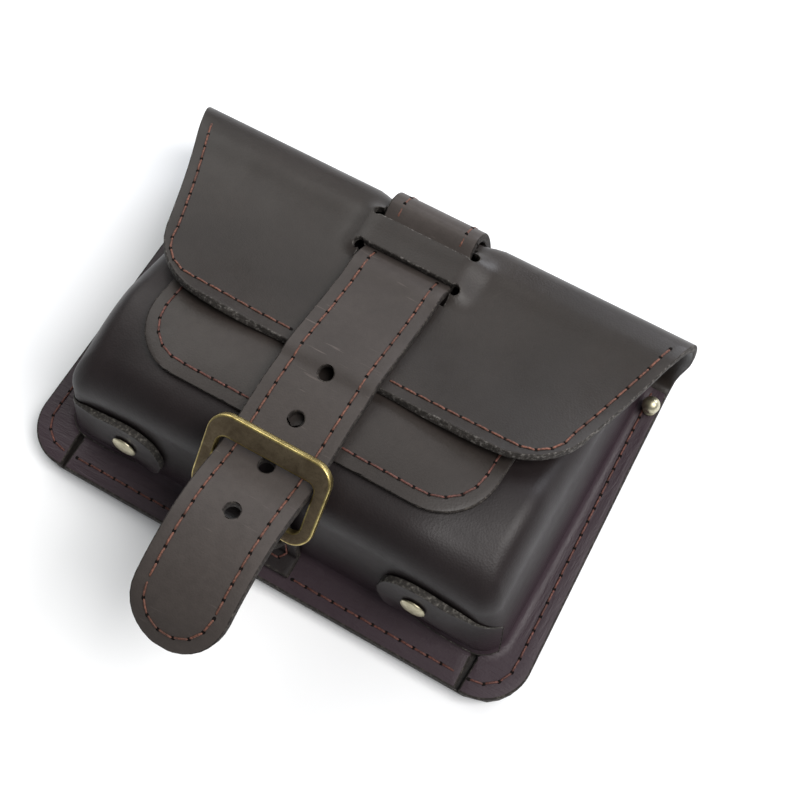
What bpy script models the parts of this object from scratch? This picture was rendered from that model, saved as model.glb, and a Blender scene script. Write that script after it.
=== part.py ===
"""Leather belt pouch lying on its back: moulded front, folding flap, strap and buckle.

Metres, +Z up.  X is the width, +Y points from the bottom edge to the fold, and the
outer face of the belt loop behind the pouch lies at Z = 0.
"""
import math

import bmesh
import bpy
from mathutils import Matrix, Vector

# clearance between neighbouring pieces
GAP = 0.0003

# leather thicknesses
BACK_T = 0.0026
FRONT_T = 0.0022
STRAP_T = 0.0028
PATCH_T = 0.0020
EAR_T = 0.0023
TAB_T = 0.0022

# moulded pocket
POCKET_HALF = 0.0770
POCKET_FOOT_Y = 0.0132
POCKET_DEPTH = 0.0456
POCKET_CORNER_R = 0.0080
WALL_LEAN_SIDE = 0.0030
WALL_LEAN_BOTTOM = 0.0040
LEFT_LEAN = 0.0065
ROOT_R = 0.0030
EDGE_R = 0.0130
EDGE_IN_SIDE = 0.0085
FACE_CROWN = 0.0016
CORNER_DROP = 0.0085
CORNER_DROP_LEN = 0.0450

# back panel and flange
PANEL_LEN = 0.1135
FLANGE_BOTTOM = 0.0110
FLANGE_TOP = 0.0070
PANEL_HALF_BOTTOM = POCKET_HALF + FLANGE_BOTTOM
PANEL_HALF_TOP = POCKET_HALF + FLANGE_TOP
PANEL_CORNER_R = 0.0145
CORNER_SLIT_IN = 0.0022
CORNER_SLIT_OUT = 0.0010
CORNER_SLIT_X = POCKET_HALF - 0.0058
CORNER_SLIT_LEN = POCKET_FOOT_Y + 0.0016

# fold and flap
FOLD_REACH = 0.0133
FOLD_HALF = PANEL_HALF_TOP + 0.0028
FOLD_DENT = 0.0024
FLAP_EDGE_Y = 0.0576
FLAP_HALF_END = 0.0680
FLAP_LEFT_IN = 0.0045
FLAP_CORNER_R = 0.0160
FLAP_LIFT = 0.0020
SLOPE = 1.08

# place of the origin along the belt loop, from the bottom edge
REST_Y = 0.0600

# strap and the bridge it runs under
STRAP_W = 0.0300
STRAP_START_Y = 0.0160
STRAP_STANDOFF = 0.0008
BRIDGE_LOW_Y = PANEL_LEN - 0.0143
BRIDGE_W = 0.0101
BRIDGE_RISE = BACK_T + 0.0008
SLIT_OPEN_LOW = STRAP_T + 0.0040
SLIT_OPEN_HIGH = STRAP_T + 0.0020
SLIT_SIDE = 0.0008
SLIT_HOLE_D = 0.0032
TAIL_LEN = 0.0585
TAIL_RISE = 0.0064
BELT_HOLE_D = 0.0046
BELT_HOLE_PITCH = 0.0163
BELT_HOLE_FIRST_Y = 0.0534
BELT_HOLE_COUNT = 4

# front patch
PATCH_HALF = POCKET_HALF - 0.0192
PATCH_LOW_Y = POCKET_FOOT_Y + WALL_LEAN_BOTTOM + EDGE_R + 0.0022
PATCH_HIGH_Y = FLAP_EDGE_Y + 0.0184
PATCH_CORNER_R = 0.0180

# corner ears and their rivets
EAR_REACH = POCKET_HALF - 0.0390
EAR_LOW = 0.0007
EAR_HIGH = POCKET_DEPTH - EDGE_R - 0.0026
RIVET_D = 0.0082
RIVET_H = 0.0012
RIVET_X = EAR_REACH + 0.0125
RIVET_HEIGHT = 0.63 * EAR_HIGH

# ball studs at the top corners of the flange
STUD_X = POCKET_HALF + 0.0044
STUD_Y = PANEL_LEN - 0.0075
STUD_BASE_D = 0.0044
STUD_BASE_H = 0.0008
STUD_NECK_D = 0.0030
STUD_BALL_D = 0.0056
STUD_H = 0.0068

# buckle and its holder
STRAP_PLAY = 0.0007
BAR_TOP = 0.0070
BAR_SIDE = 0.0042
BAR_HEEL = 0.0040
BUCKLE_W = STRAP_W + 2 * (STRAP_PLAY + BAR_SIDE)
BUCKLE_L = 0.0277
BUCKLE_T = 0.0026
BUCKLE_CORNER_R = 0.0065
BUCKLE_INNER_R = 0.0026
BUCKLE_TILT = math.radians(42.0)
BUCKLE_Y = POCKET_FOOT_Y + 0.0104
TAB_W = 0.7 * STRAP_W
TAB_START_Y = 0.0040
TAB_RETURN = 0.0090

# levels that follow from the thicknesses
Z_BACK = STRAP_T + GAP
Z_PANEL = Z_BACK + BACK_T
Z_FLANGE = Z_PANEL + GAP + FRONT_T

# front face: share of the panel length, share of the pocket depth
FACE_TABLE = [(0.000, 1.000), (0.250, 1.000), (0.335, 1.000), (0.405, 0.980), (0.458, 0.950),
              (0.511, 0.897), (0.564, 0.849), (0.634, 0.787), (0.705, 0.726), (0.775, 0.669),
              (0.846, 0.623), (0.916, 0.596), (1.000, 0.575)]

# lift of the flap off the face, as shares of the panel length and of the back leather
LIFT_TABLE = [(0.500, 0.00), (0.700, 0.02), (0.775, 0.22), (0.846, 0.42), (0.875, 0.50),
              (0.920, 0.66), (0.965, 0.84), (1.100, 1.00)]

# fold, from the flap round to the back: share of FOLD_REACH, share of the fold height
FOLD_TABLE = [(0.353, 0.966), (0.560, 0.935), (0.735, 0.885), (0.875, 0.800), (0.960, 0.690),
              (1.000, 0.560), (1.000, 0.420), (0.975, 0.280), (0.910, 0.165), (0.790, 0.075),
              (0.610, 0.018), (0.420, 0.000)]

# strap tail beyond the buckle bar: share of TAIL_LEN, share of TAIL_RISE
TAIL_TABLE = [(0.100, 0.230), (0.230, 0.680), (0.330, 0.920), (0.460, 1.000), (0.600, 0.850),
              (0.730, 0.560), (0.860, 0.080), (0.950, -0.450), (1.000, -0.800)]

# upper outline of an ear, from its round end to the corner: share of its run, share of height
EAR_TOP = [(0.00, 0.60), (0.04, 0.79), (0.12, 0.92), (0.26, 1.00), (0.55, 1.00), (0.76, 0.94),
           (0.88, 0.80), (1.00, 0.56)]
EAR_LOW_EDGE = [(0.00, 0.48), (0.04, 0.31), (0.12, 0.16), (0.26, 0.04), (0.45, 0.00), (1.00, 0.00)]


def lookup(table, x):
    """Smooth curve through the points of a short table."""
    if x <= table[0][0]:
        return table[0][1]
    if x >= table[-1][0]:
        return table[-1][1]
    k = 0
    while table[k + 1][0] < x:
        k += 1
    x0, y0 = table[k]
    x1, y1 = table[k + 1]
    span = x1 - x0
    slope = (y1 - y0) / span
    before = slope
    if k > 0:
        before = (y0 - table[k - 1][1]) / (x0 - table[k - 1][0])
    after = slope
    if k + 2 < len(table):
        after = (table[k + 2][1] - y1) / (table[k + 2][0] - x1)
    m0 = 0.5 * (before + slope)
    m1 = 0.5 * (after + slope)
    t = (x - x0) / span
    h00 = 2 * t ** 3 - 3 * t ** 2 + 1
    h10 = t ** 3 - 2 * t ** 2 + t
    h01 = -2 * t ** 3 + 3 * t ** 2
    h11 = t ** 3 - t ** 2
    return h00 * y0 + h10 * span * m0 + h01 * y1 + h11 * span * m1


def spline(knots, steps):
    """Catmull-Rom curve through 2D knots, with the given steps between neighbours."""
    points = []
    for k in range(len(knots) - 1):
        p0 = Vector(knots[max(k - 1, 0)])
        p1 = Vector(knots[k])
        p2 = Vector(knots[k + 1])
        p3 = Vector(knots[min(k + 2, len(knots) - 1)])
        d1 = max((p2 - p1).length, 1e-9)
        d0 = max((p1 - p0).length, 1e-9)
        d2 = max((p3 - p2).length, 1e-9)
        m1 = (p2 - p0) * (d1 / (d0 + d1)) if k > 0 else p2 - p1
        m2 = (p3 - p1) * (d1 / (d1 + d2)) if k + 2 < len(knots) else p2 - p1
        for i in range(steps):
            t = i / steps
            a = 2 * t ** 3 - 3 * t ** 2 + 1
            b = t ** 3 - 2 * t ** 2 + t
            c = -2 * t ** 3 + 3 * t ** 2
            d = t ** 3 - t ** 2
            points.append(a * p1 + b * m1 + c * p2 + d * m2)
    points.append(Vector(knots[-1]))
    return points


def smoothstep(a, b, x):
    t = min(max((x - a) / (b - a), 0.0), 1.0)
    return t * t * (3 - 2 * t)


def face_height(y):
    """Height of the pocket's front face on the centre line."""
    return Z_FLANGE + POCKET_DEPTH * lookup(FACE_TABLE, y / PANEL_LEN)


def face_point(x, y):
    """Height of the pocket's front face, crowned across and lower at its bottom corners."""
    near = 1 - smoothstep(POCKET_FOOT_Y, POCKET_FOOT_Y + CORNER_DROP_LEN, y)
    drop = CORNER_DROP * near * smoothstep(0.5, 1.0, abs(x) / POCKET_HALF)
    return face_height(y) - FACE_CROWN * (x / POCKET_HALF) ** 2 - drop


def flap_height(y):
    """Height of the flap's outer face on the centre line, below the fold."""
    lift = BACK_T * lookup(LIFT_TABLE, y / PANEL_LEN)
    return face_height(y) + SLOPE * (PATCH_T + BACK_T) + 3 * GAP + lift


BRIDGE_HIGH_Y = BRIDGE_LOW_Y + BRIDGE_W
FOLD_Y = BRIDGE_HIGH_Y + FOLD_REACH
FOLD_TOP = flap_height(BRIDGE_HIGH_Y)
SLIT_HALF = STRAP_W / 2 + SLIT_SIDE


def sheet_profile():
    """Outer face of the back-and-flap leather, from the bottom edge to the flap's edge."""
    knots = [(0.0, Z_BACK), (0.3 * PANEL_LEN, Z_BACK), (0.6 * PANEL_LEN, Z_BACK),
             (0.85 * PANEL_LEN, Z_BACK), (0.95 * PANEL_LEN, Z_BACK)]
    for share_y, share_z in reversed(FOLD_TABLE):
        knots.append((BRIDGE_HIGH_Y + FOLD_REACH * share_y, Z_BACK + (FOLD_TOP - Z_BACK) * share_z))
    knots.append((BRIDGE_HIGH_Y, FOLD_TOP))
    y = BRIDGE_HIGH_Y
    while y - 0.0075 > FLAP_EDGE_Y:
        y -= 0.0065
        knots.append((y, flap_height(y)))
    knots.append((FLAP_EDGE_Y, flap_height(FLAP_EDGE_Y)))
    return knots


def panel_half(y):
    """Half width of the back panel and flange, without the rounded corners."""
    share = min(max(y / PANEL_LEN, 0.0), 1.0)
    return PANEL_HALF_BOTTOM + (PANEL_HALF_TOP - PANEL_HALF_BOTTOM) * share


def round_corner(distance, radius):
    """How far the side steps in at a distance from the end of a rounded outline."""
    if distance >= radius:
        return 0.0
    return radius - math.sqrt(max(radius ** 2 - (radius - distance) ** 2, 0.0))


def new_object(name, mesh, material, collection):
    mesh.materials.append(material)
    obj = bpy.data.objects.new(name, mesh)
    collection.objects.link(obj)
    return obj


def grid_mesh(name, rows, skip=None, close=False):
    """Open surface from rows of points, leaving out the quads that skip names."""
    bm = bmesh.new()
    verts = []
    for row in rows:
        verts.append([bm.verts.new(p) for p in row])
    for i in range(len(rows) - 1):
        for j in range(len(rows[0]) - 1):
            if skip is not None and skip(i, j):
                continue
            bm.faces.new((verts[i][j], verts[i + 1][j], verts[i + 1][j + 1], verts[i][j + 1]))
    if close:
        bmesh.ops.remove_doubles(bm, verts=bm.verts[:], dist=0.00002)
    loose = [v for v in bm.verts if not v.link_faces]
    bmesh.ops.delete(bm, geom=loose, context="VERTS")
    mesh = bpy.data.meshes.new(name)
    bm.to_mesh(mesh)
    bm.free()
    return mesh


def smooth_mesh(mesh, degrees):
    mesh.shade_smooth()
    mesh.set_sharp_from_angle(angle=math.radians(degrees))


def thicken(obj, thickness, offset):
    mod = obj.modifiers.new("Thickness", "SOLIDIFY")
    mod.thickness = thickness
    mod.offset = offset
    mod.use_even_offset = False
    mod.use_rim = True
    return mod


def cut(obj, cutter):
    mod = obj.modifiers.new("Cut", "BOOLEAN")
    mod.operation = "DIFFERENCE"
    mod.solver = "EXACT"
    mod.object = cutter


def cylinder_cutter(name, places, diameter, length, collection):
    """Cylinders in one object, each on a centre and an axis."""
    bm = bmesh.new()
    for centre, axis in places:
        turn = Vector((0, 0, 1)).rotation_difference(axis).to_matrix().to_4x4()
        bmesh.ops.create_cone(bm, cap_ends=True, segments=20, radius1=diameter / 2,
                              radius2=diameter / 2, depth=length,
                              matrix=Matrix.Translation(centre) @ turn)
    mesh = bpy.data.meshes.new(name)
    bm.to_mesh(mesh)
    bm.free()
    obj = bpy.data.objects.new(name, mesh)
    collection.objects.link(obj)
    obj.hide_render = True
    obj.display_type = "WIRE"
    return obj


def prism_cutter(name, outline, z0, z1, collection):
    """Upright prism over a plan outline."""
    bm = bmesh.new()
    low = [bm.verts.new((x, y, z0)) for x, y in outline]
    base = bm.faces.new(low)
    extruded = bmesh.ops.extrude_face_region(bm, geom=[base])
    top = [v for v in extruded["geom"] if isinstance(v, bmesh.types.BMVert)]
    bmesh.ops.translate(bm, verts=top, vec=(0, 0, z1 - z0))
    bmesh.ops.recalc_face_normals(bm, faces=bm.faces[:])
    mesh = bpy.data.meshes.new(name)
    bm.to_mesh(mesh)
    bm.free()
    obj = bpy.data.objects.new(name, mesh)
    collection.objects.link(obj)
    obj.hide_render = True
    obj.display_type = "WIRE"
    return obj


def turned(name, profile, material, collection, centre, axis, steps):
    """Solid of revolution whose profile runs down the outer side, set on an axis."""
    mesh = bpy.data.meshes.new(name)
    verts = [(r, 0, z) for r, z in profile]
    edges = [(k, k + 1) for k in range(len(verts) - 1)]
    mesh.from_pydata(verts, edges, [])
    obj = new_object(name, mesh, material, collection)
    mod = obj.modifiers.new("Turn", "SCREW")
    mod.steps = steps
    mod.render_steps = steps
    mod.use_merge_vertices = True
    mod.merge_threshold = 0.00001
    mod.use_smooth_shade = True
    obj.location = centre
    obj.rotation_euler = Vector((0, 0, 1)).rotation_difference(axis).to_euler()
    return obj


def make_material(name, color, roughness, metallic):
    material = bpy.data.materials.new(name)
    material.use_nodes = True
    shader = material.node_tree.nodes["Principled BSDF"]
    shader.inputs["Base Color"].default_value = (*color, 1.0)
    shader.inputs["Roughness"].default_value = roughness
    shader.inputs["Metallic"].default_value = metallic
    material.diffuse_color = (*color, 1.0)
    return material


def flap_half(share):
    """Half width of the flap, from the fold (0) to its free edge (1)."""
    return FOLD_HALF + (FLAP_HALF_END - FOLD_HALF) * share


def sheet_rows(steps):
    """Rows of points of the back-and-flap sheet, and the centre line place of each row."""
    points = [Vector((p.x, max(p.y, Z_BACK))) for p in spline(sheet_profile(), steps)]
    # rows on both edges of each slit
    marks = [BRIDGE_LOW_Y - SLIT_OPEN_LOW, BRIDGE_LOW_Y, BRIDGE_HIGH_Y, BRIDGE_HIGH_Y + SLIT_OPEN_HIGH]
    high = 0.5 * (Z_BACK + FOLD_TOP)
    for mark in marks:
        for k in range(len(points) - 1):
            a = points[k]
            b = points[k + 1]
            if a.y > high and b.x <= mark < a.x:
                t = (a.x - mark) / (a.x - b.x)
                points.insert(k + 1, a.lerp(b, t))
                break
    # closely spaced rows at the rounded ends
    dense = []
    for k in range(1, 7):
        dense.append(PANEL_CORNER_R * (1 - math.cos(math.radians(15 * k))))
    start = [Vector((d, Z_BACK)) for d in dense]
    points = [points[0]] + start + [p for p in points[1:] if p.x > dense[-1] + 0.002 or p.y > high]
    ends = []
    for k in range(6, 0, -1):
        y = FLAP_EDGE_Y + FLAP_CORNER_R * (1 - math.cos(math.radians(15 * k)))
        ends.append(Vector((y, flap_height(y))))
    cutoff = ends[0].x + 0.0015
    points = [p for p in points if p.x > cutoff or p.y < high] + ends
    points.append(Vector((FLAP_EDGE_Y, flap_height(FLAP_EDGE_Y))))
    return clean(points)


def clean(points):
    """Drop points that lie closer than a tenth of a millimetre to the one before."""
    kept = [points[0]]
    for p in points[1:]:
        if (p - kept[-1]).length > 0.0001:
            kept.append(p)
    return kept


def sheet_half(y, z):
    """Half width of the back-and-flap sheet at a place of its profile."""
    middle = 0.5 * (Z_BACK + FOLD_TOP)
    if z <= Z_BACK + 0.0001 and y <= PANEL_LEN:
        return panel_half(y) - round_corner(y, PANEL_CORNER_R)
    if z < middle:
        return PANEL_HALF_TOP + (FOLD_HALF - PANEL_HALF_TOP) * smoothstep(Z_BACK, middle, z)
    share = min(max((FOLD_Y - y) / (FOLD_Y - FLAP_EDGE_Y), 0.0), 1.0)
    return flap_half(share) - round_corner(y - FLAP_EDGE_Y, FLAP_CORNER_R)


def bridge_bump(x, y):
    """Rise of the bridge that the strap runs under, and of the flap beside it."""
    side = 1 - smoothstep(SLIT_HALF + 0.0005, SLIT_HALF + 0.0075, abs(x))
    reach = 0.0070
    if abs(x) < SLIT_HALF:
        inside = BRIDGE_LOW_Y - 0.00001 <= y <= BRIDGE_HIGH_Y + 0.00001
        return BRIDGE_RISE if inside else 0.0
    along = smoothstep(BRIDGE_LOW_Y - reach, BRIDGE_LOW_Y, y)
    along *= 1 - smoothstep(BRIDGE_HIGH_Y, BRIDGE_HIGH_Y + reach, y)
    return BRIDGE_RISE * side * along


def fold_dent(y, z):
    """How far the strap presses the upper half of the fold in at a place of its profile."""
    rising = smoothstep(Z_BACK, 0.5 * (Z_BACK + FOLD_TOP), z)
    return FOLD_DENT * rising * smoothstep(BRIDGE_HIGH_Y + SLIT_OPEN_HIGH + 0.0010, FOLD_Y, y)


def sheet_point(x, y, z, half):
    """Point of the back-and-flap sheet's outer face."""
    place = y - fold_dent(y, z) * (1 - smoothstep(SLIT_HALF - 0.0015, SLIT_HALF + 0.0060, abs(x)))
    middle = 0.5 * (Z_BACK + FOLD_TOP)
    if z > middle:
        share = min(max((BRIDGE_HIGH_Y - y) / (BRIDGE_HIGH_Y - FLAP_EDGE_Y), 0.0), 1.0)
        z += FLAP_LIFT * share * smoothstep(0.35, 1.0, abs(x) / half)
        z += bridge_bump(x, y)
        if x < 0:
            share = min(max((FOLD_Y - y) / (FOLD_Y - FLAP_EDGE_Y), 0.0), 1.0)
            x += FLAP_LEFT_IN * share * smoothstep(0.35, 1.0, abs(x) / half)
    return Vector((x, place, z))


def sheet_columns(half, inner, outer):
    """Places across the sheet: fixed ones at the slits, shares of the width outside them."""
    fixed = [-SLIT_HALF + 2 * SLIT_HALF * k / inner for k in range(inner + 1)]
    side = []
    for k in range(1, outer + 1):
        side.append(SLIT_HALF + (half - SLIT_HALF) * (k / outer))
    return [-x for x in reversed(side)] + fixed + side


def build_back_and_flap(material, collection, cutters):
    rows = []
    places = sheet_rows(2)
    inner = 6
    outer = 6
    for p in places:
        half = sheet_half(p.x, p.y)
        xs = sheet_columns(half, inner, outer)
        rows.append([sheet_point(x, p.x, p.y, half) for x in xs])
    middle = 0.5 * (Z_BACK + FOLD_TOP)

    def skip(i, j):
        if not outer <= j < outer + inner:
            return False
        a = places[i]
        b = places[i + 1]
        if min(a.y, b.y) < middle:
            return False
        y = 0.5 * (a.x + b.x)
        low = BRIDGE_LOW_Y - SLIT_OPEN_LOW < y < BRIDGE_LOW_Y
        high = BRIDGE_HIGH_Y < y < BRIDGE_HIGH_Y + SLIT_OPEN_HIGH
        return low or high

    mesh = grid_mesh("back_panel_flap", rows, skip)
    smooth_mesh(mesh, 40)
    obj = new_object("back_panel_flap", mesh, material, collection)
    thicken(obj, BACK_T, -1.0)
    holes = []
    for y in (BRIDGE_LOW_Y - 0.36 * SLIT_HOLE_D, BRIDGE_HIGH_Y + 0.36 * SLIT_HOLE_D):
        for side in (-1, 1):
            centre = Vector((side * (SLIT_HALF + 0.22 * SLIT_HOLE_D), y, flap_height(y)))
            holes.append((centre, Vector((0, 0, 1))))
    cut(obj, cylinder_cutter("slit_end_holes", holes, SLIT_HOLE_D, 0.02, cutters))
    return obj


def wall_profile(lean, edge_in, arc):
    """Pocket wall in section: step in from the foot, height above the flange."""
    points = []
    for k in range(arc + 1):
        a = 0.5 * math.pi * k / arc
        points.append((-ROOT_R + ROOT_R * math.sin(a), ROOT_R * (1 - math.cos(a))))
    top = POCKET_DEPTH - EDGE_R
    for k in (1, 2):
        t = k / 3
        points.append((lean * t, ROOT_R + (top - ROOT_R) * t))
    for k in range(arc + 3):
        a = 0.5 * math.pi * k / (arc + 2)
        points.append((lean + edge_in * (1 - math.cos(a)), top + EDGE_R * math.sin(a)))
    return points


def u_path(half, low, radius, top, leg, corner, bottom, half_top=None):
    """Open U in plan: down the left leg, round the bottom and up the right leg."""
    if half_top is None:
        half_top = half
    points = []
    start = low + radius
    for k in range(leg):
        t = k / leg
        y = top + (start - top) * t
        w = half_top + (half - half_top) * t
        points.append((-w, y))
    for k in range(corner):
        a = 0.5 * math.pi * k / corner
        points.append((-half + radius * (1 - math.cos(a)), start - radius * math.sin(a)))
    left = -(half - radius)
    for k in range(bottom + 1):
        points.append((left - 2 * left * k / bottom, low))
    for k in range(1, corner + 1):
        a = 0.5 * math.pi * k / corner
        points.append((half - radius * (1 - math.sin(a)), start - radius * math.cos(a)))
    for k in range(1, leg + 1):
        t = k / leg
        y = start + (top - start) * t
        w = half + (half_top - half) * t
        points.append((w, y))
    return points


def lean_left(x, y, share):
    """Place across the pocket, whose left wall leans further in towards the fold."""
    if x >= 0:
        return x
    along = min(max((y - POCKET_FOOT_Y) / (PANEL_LEN - POCKET_FOOT_Y), 0.0), 1.0)
    return x + LEFT_LEAN * along * min(share * 1.4, 1.0) * (abs(x) / POCKET_HALF) ** 2


def pocket_rows(leg, corner, bottom, arc, inner):
    """Rings of the pocket's outer face, from the flange's edge to the middle of the face."""
    side = wall_profile(WALL_LEAN_SIDE, EDGE_IN_SIDE, arc)
    base = wall_profile(WALL_LEAN_BOTTOM, EDGE_R, arc)
    rows = []
    edge = u_path(PANEL_HALF_BOTTOM, 0.0, PANEL_CORNER_R, PANEL_LEN, leg, corner, bottom, PANEL_HALF_TOP)
    foot_r = POCKET_CORNER_R + ROOT_R
    root = u_path(POCKET_HALF + ROOT_R, POCKET_FOOT_Y - ROOT_R, foot_r, PANEL_LEN, leg, corner, bottom)
    middle = [(0.5 * (a[0] + b[0]), 0.5 * (a[1] + b[1])) for a, b in zip(edge, root)]
    for path in (edge, middle):
        rows.append([Vector((x, y, Z_FLANGE)) for x, y in path])
    for (ds, hs), (db, _) in zip(side, base):
        radius = max(POCKET_CORNER_R - 0.5 * ds, POCKET_CORNER_R * 0.4)
        path = u_path(POCKET_HALF - ds, POCKET_FOOT_Y + db, radius, PANEL_LEN, leg, corner, bottom)
        share = hs / POCKET_DEPTH
        row = []
        for x, y in path:
            top = face_point(x, y)
            row.append(Vector((lean_left(x, y, share), y, Z_FLANGE + (top - Z_FLANGE) * share)))
        rows.append(row)
    last_half = POCKET_HALF - side[-1][0]
    last_low = POCKET_FOOT_Y + base[-1][0]
    last_r = max(POCKET_CORNER_R - 0.5 * side[-1][0], POCKET_CORNER_R * 0.4)
    spine = last_low + 0.45 * (PANEL_LEN - last_low)
    for k in range(1, inner + 1):
        f = k / inner
        path = u_path(last_half * (1 - f), last_low + (spine - last_low) * f, last_r * (1 - f),
                      PANEL_LEN, leg, corner, bottom)
        rows.append([Vector((lean_left(x, y, 1.0), y, face_point(x, y))) for x, y in path])
    return rows


def build_pocket(material, collection, cutters):
    rows = pocket_rows(9, 6, 12, 4, 4)
    rows = [list(reversed(row)) for row in rows]
    mesh = grid_mesh("front_pocket", rows, close=True)
    smooth_mesh(mesh, 60)
    obj = new_object("front_pocket", mesh, material, collection)
    thicken(obj, FRONT_T, -1.0)
    for side in (-1, 1):
        inner = CORNER_SLIT_IN / 2
        outer = CORNER_SLIT_OUT / 2
        x = CORNER_SLIT_X
        outline = [(side * (x - inner), CORNER_SLIT_LEN), (side * (x - outer), -0.002),
                   (side * (x + outer), -0.002), (side * (x + inner), CORNER_SLIT_LEN)]
        name = "slit_left" if side < 0 else "slit_right"
        cut(obj, prism_cutter(name, outline, Z_PANEL - 0.001, Z_FLANGE + 0.003, cutters))
    return obj


def build_patch(material, collection):
    """Patch sewn on the front face; its top runs under the flap."""
    count = 12
    ys = []
    for k in range(7):
        ys.append(PATCH_LOW_Y + PATCH_CORNER_R * (1 - math.cos(math.radians(15 * k))))
    steps = 6
    for k in range(1, steps + 1):
        ys.append(ys[6] + (PATCH_HIGH_Y - ys[6]) * k / steps)
    rows = []
    for y in ys:
        half = PATCH_HALF - round_corner(y - PATCH_LOW_Y, PATCH_CORNER_R)
        row = []
        for j in range(count + 1):
            x = half - 2 * half * j / count
            row.append(Vector((x, y, face_point(x, y) + GAP)))
        rows.append(row)
    mesh = grid_mesh("front_patch", rows)
    smooth_mesh(mesh, 40)
    obj = new_object("front_patch", mesh, material, collection)
    thicken(obj, PATCH_T, 1.0)
    return obj


def wall_outer(x, height):
    """Point and outward normal of the bottom wall, round its right corner and up the side."""
    top = POCKET_DEPTH - EDGE_R
    t = (height - ROOT_R) / (top - ROOT_R)
    tilt = 0.5 * math.pi
    if height < ROOT_R:
        tilt = math.acos(max(1 - height / ROOT_R, -1.0))
        step_b = -ROOT_R * (1 - math.sin(tilt))
        step_s = step_b
    elif height < top:
        step_b = WALL_LEAN_BOTTOM * max(t, 0.0)
        step_s = WALL_LEAN_SIDE * max(t, 0.0)
    else:
        a = math.asin(min((height - top) / EDGE_R, 1.0))
        step_b = WALL_LEAN_BOTTOM + EDGE_R * (1 - math.cos(a))
        step_s = WALL_LEAN_SIDE + EDGE_IN_SIDE * (1 - math.cos(a))
    radius = max(POCKET_CORNER_R - 0.5 * step_s, POCKET_CORNER_R * 0.4)
    low = POCKET_FOOT_Y + step_b
    centre = POCKET_HALF - step_s - radius
    over = max(x - centre, 0.0)
    a = min(over / radius, 0.5 * math.pi)
    beyond = over - radius * a
    across = min(x, centre) + radius * math.sin(a)
    along = low + radius * (1 - math.cos(a)) + beyond
    rise = height * (face_point(across, along) - Z_FLANGE) / POCKET_DEPTH
    flat = math.sin(tilt)
    normal = Vector((math.sin(a) * flat, -math.cos(a) * flat, math.cos(tilt)))
    return Vector((across, along, Z_FLANGE + rise)), normal


def ear_place(side, point, height):
    """Place on the left or right wall of a point worked out for the right one."""
    return Vector((lean_left(side * point.x, point.y, height / POCKET_DEPTH), point.y, point.z))


def build_ear(name, side, material, collection):
    """Tongue of the side wall, turned round the corner onto the bottom wall."""
    end = POCKET_HALF - POCKET_CORNER_R + 0.75 * POCKET_CORNER_R
    count = 14
    levels = 6
    rows = []
    for i in range(count + 1):
        share = i / count
        share = share ** 1.35
        run = EAR_REACH + (end - EAR_REACH) * share
        high = EAR_LOW + (EAR_HIGH - EAR_LOW) * lookup(EAR_TOP, share)
        low = EAR_LOW + (EAR_HIGH - EAR_LOW) * lookup(EAR_LOW_EDGE, share)
        row = []
        for j in range(levels + 1):
            height = low + (high - low) * j / levels
            point, normal = wall_outer(run, height)
            row.append(ear_place(side, point + normal * (GAP * 1.6), height))
        if side > 0:
            row.reverse()
        rows.append(row)
    rows.reverse()
    mesh = grid_mesh(name, rows)
    smooth_mesh(mesh, 40)
    obj = new_object(name, mesh, material, collection)
    thicken(obj, EAR_T, 1.0)
    return obj


def build_rivet(name, side, material, collection):
    point, normal = wall_outer(RIVET_X, RIVET_HEIGHT)
    lean = math.atan2(WALL_LEAN_BOTTOM, POCKET_DEPTH - EDGE_R - ROOT_R)
    axis = Vector((0, -math.cos(lean), math.sin(lean)))
    seat = EAR_T + GAP * 3.0
    centre = Vector((side * point.x, point.y, point.z)) + axis * seat
    radius = RIVET_D / 2
    profile = []
    for k in range(6):
        a = 0.5 * math.pi * k / 5
        profile.append((radius * math.sin(a), RIVET_H * (0.35 + 0.65 * math.cos(a))))
    profile.append((radius, 0.0))
    profile.append((0.0, 0.0))
    return turned(name, profile, material, collection, centre, axis, 28)


def build_stud(name, side, material, collection):
    """Small ball stud on the flange."""
    profile = []
    radius = STUD_BALL_D / 2
    centre = STUD_H - radius
    drop = math.asin(STUD_NECK_D / STUD_BALL_D)
    for k in range(9):
        a = (math.pi - drop) * k / 8
        profile.append((radius * math.sin(a), centre + radius * math.cos(a)))
    profile.append((STUD_NECK_D / 2, STUD_BASE_H))
    profile.append((STUD_BASE_D / 2, STUD_BASE_H))
    profile.append((STUD_BASE_D / 2, 0.0))
    profile.append((0.0, 0.0))
    profile[0] = (0.0, STUD_H)
    place = Vector((side * STUD_X, STUD_Y, Z_FLANGE + GAP))
    return turned(name, profile, material, collection, place, Vector((0, 0, 1)), 20)


def strap_level():
    """Height of the strap's middle where it passes under the buckle's bar."""
    return face_height(PATCH_LOW_Y) + 3 * GAP + PATCH_T + STRAP_T / 2


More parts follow.
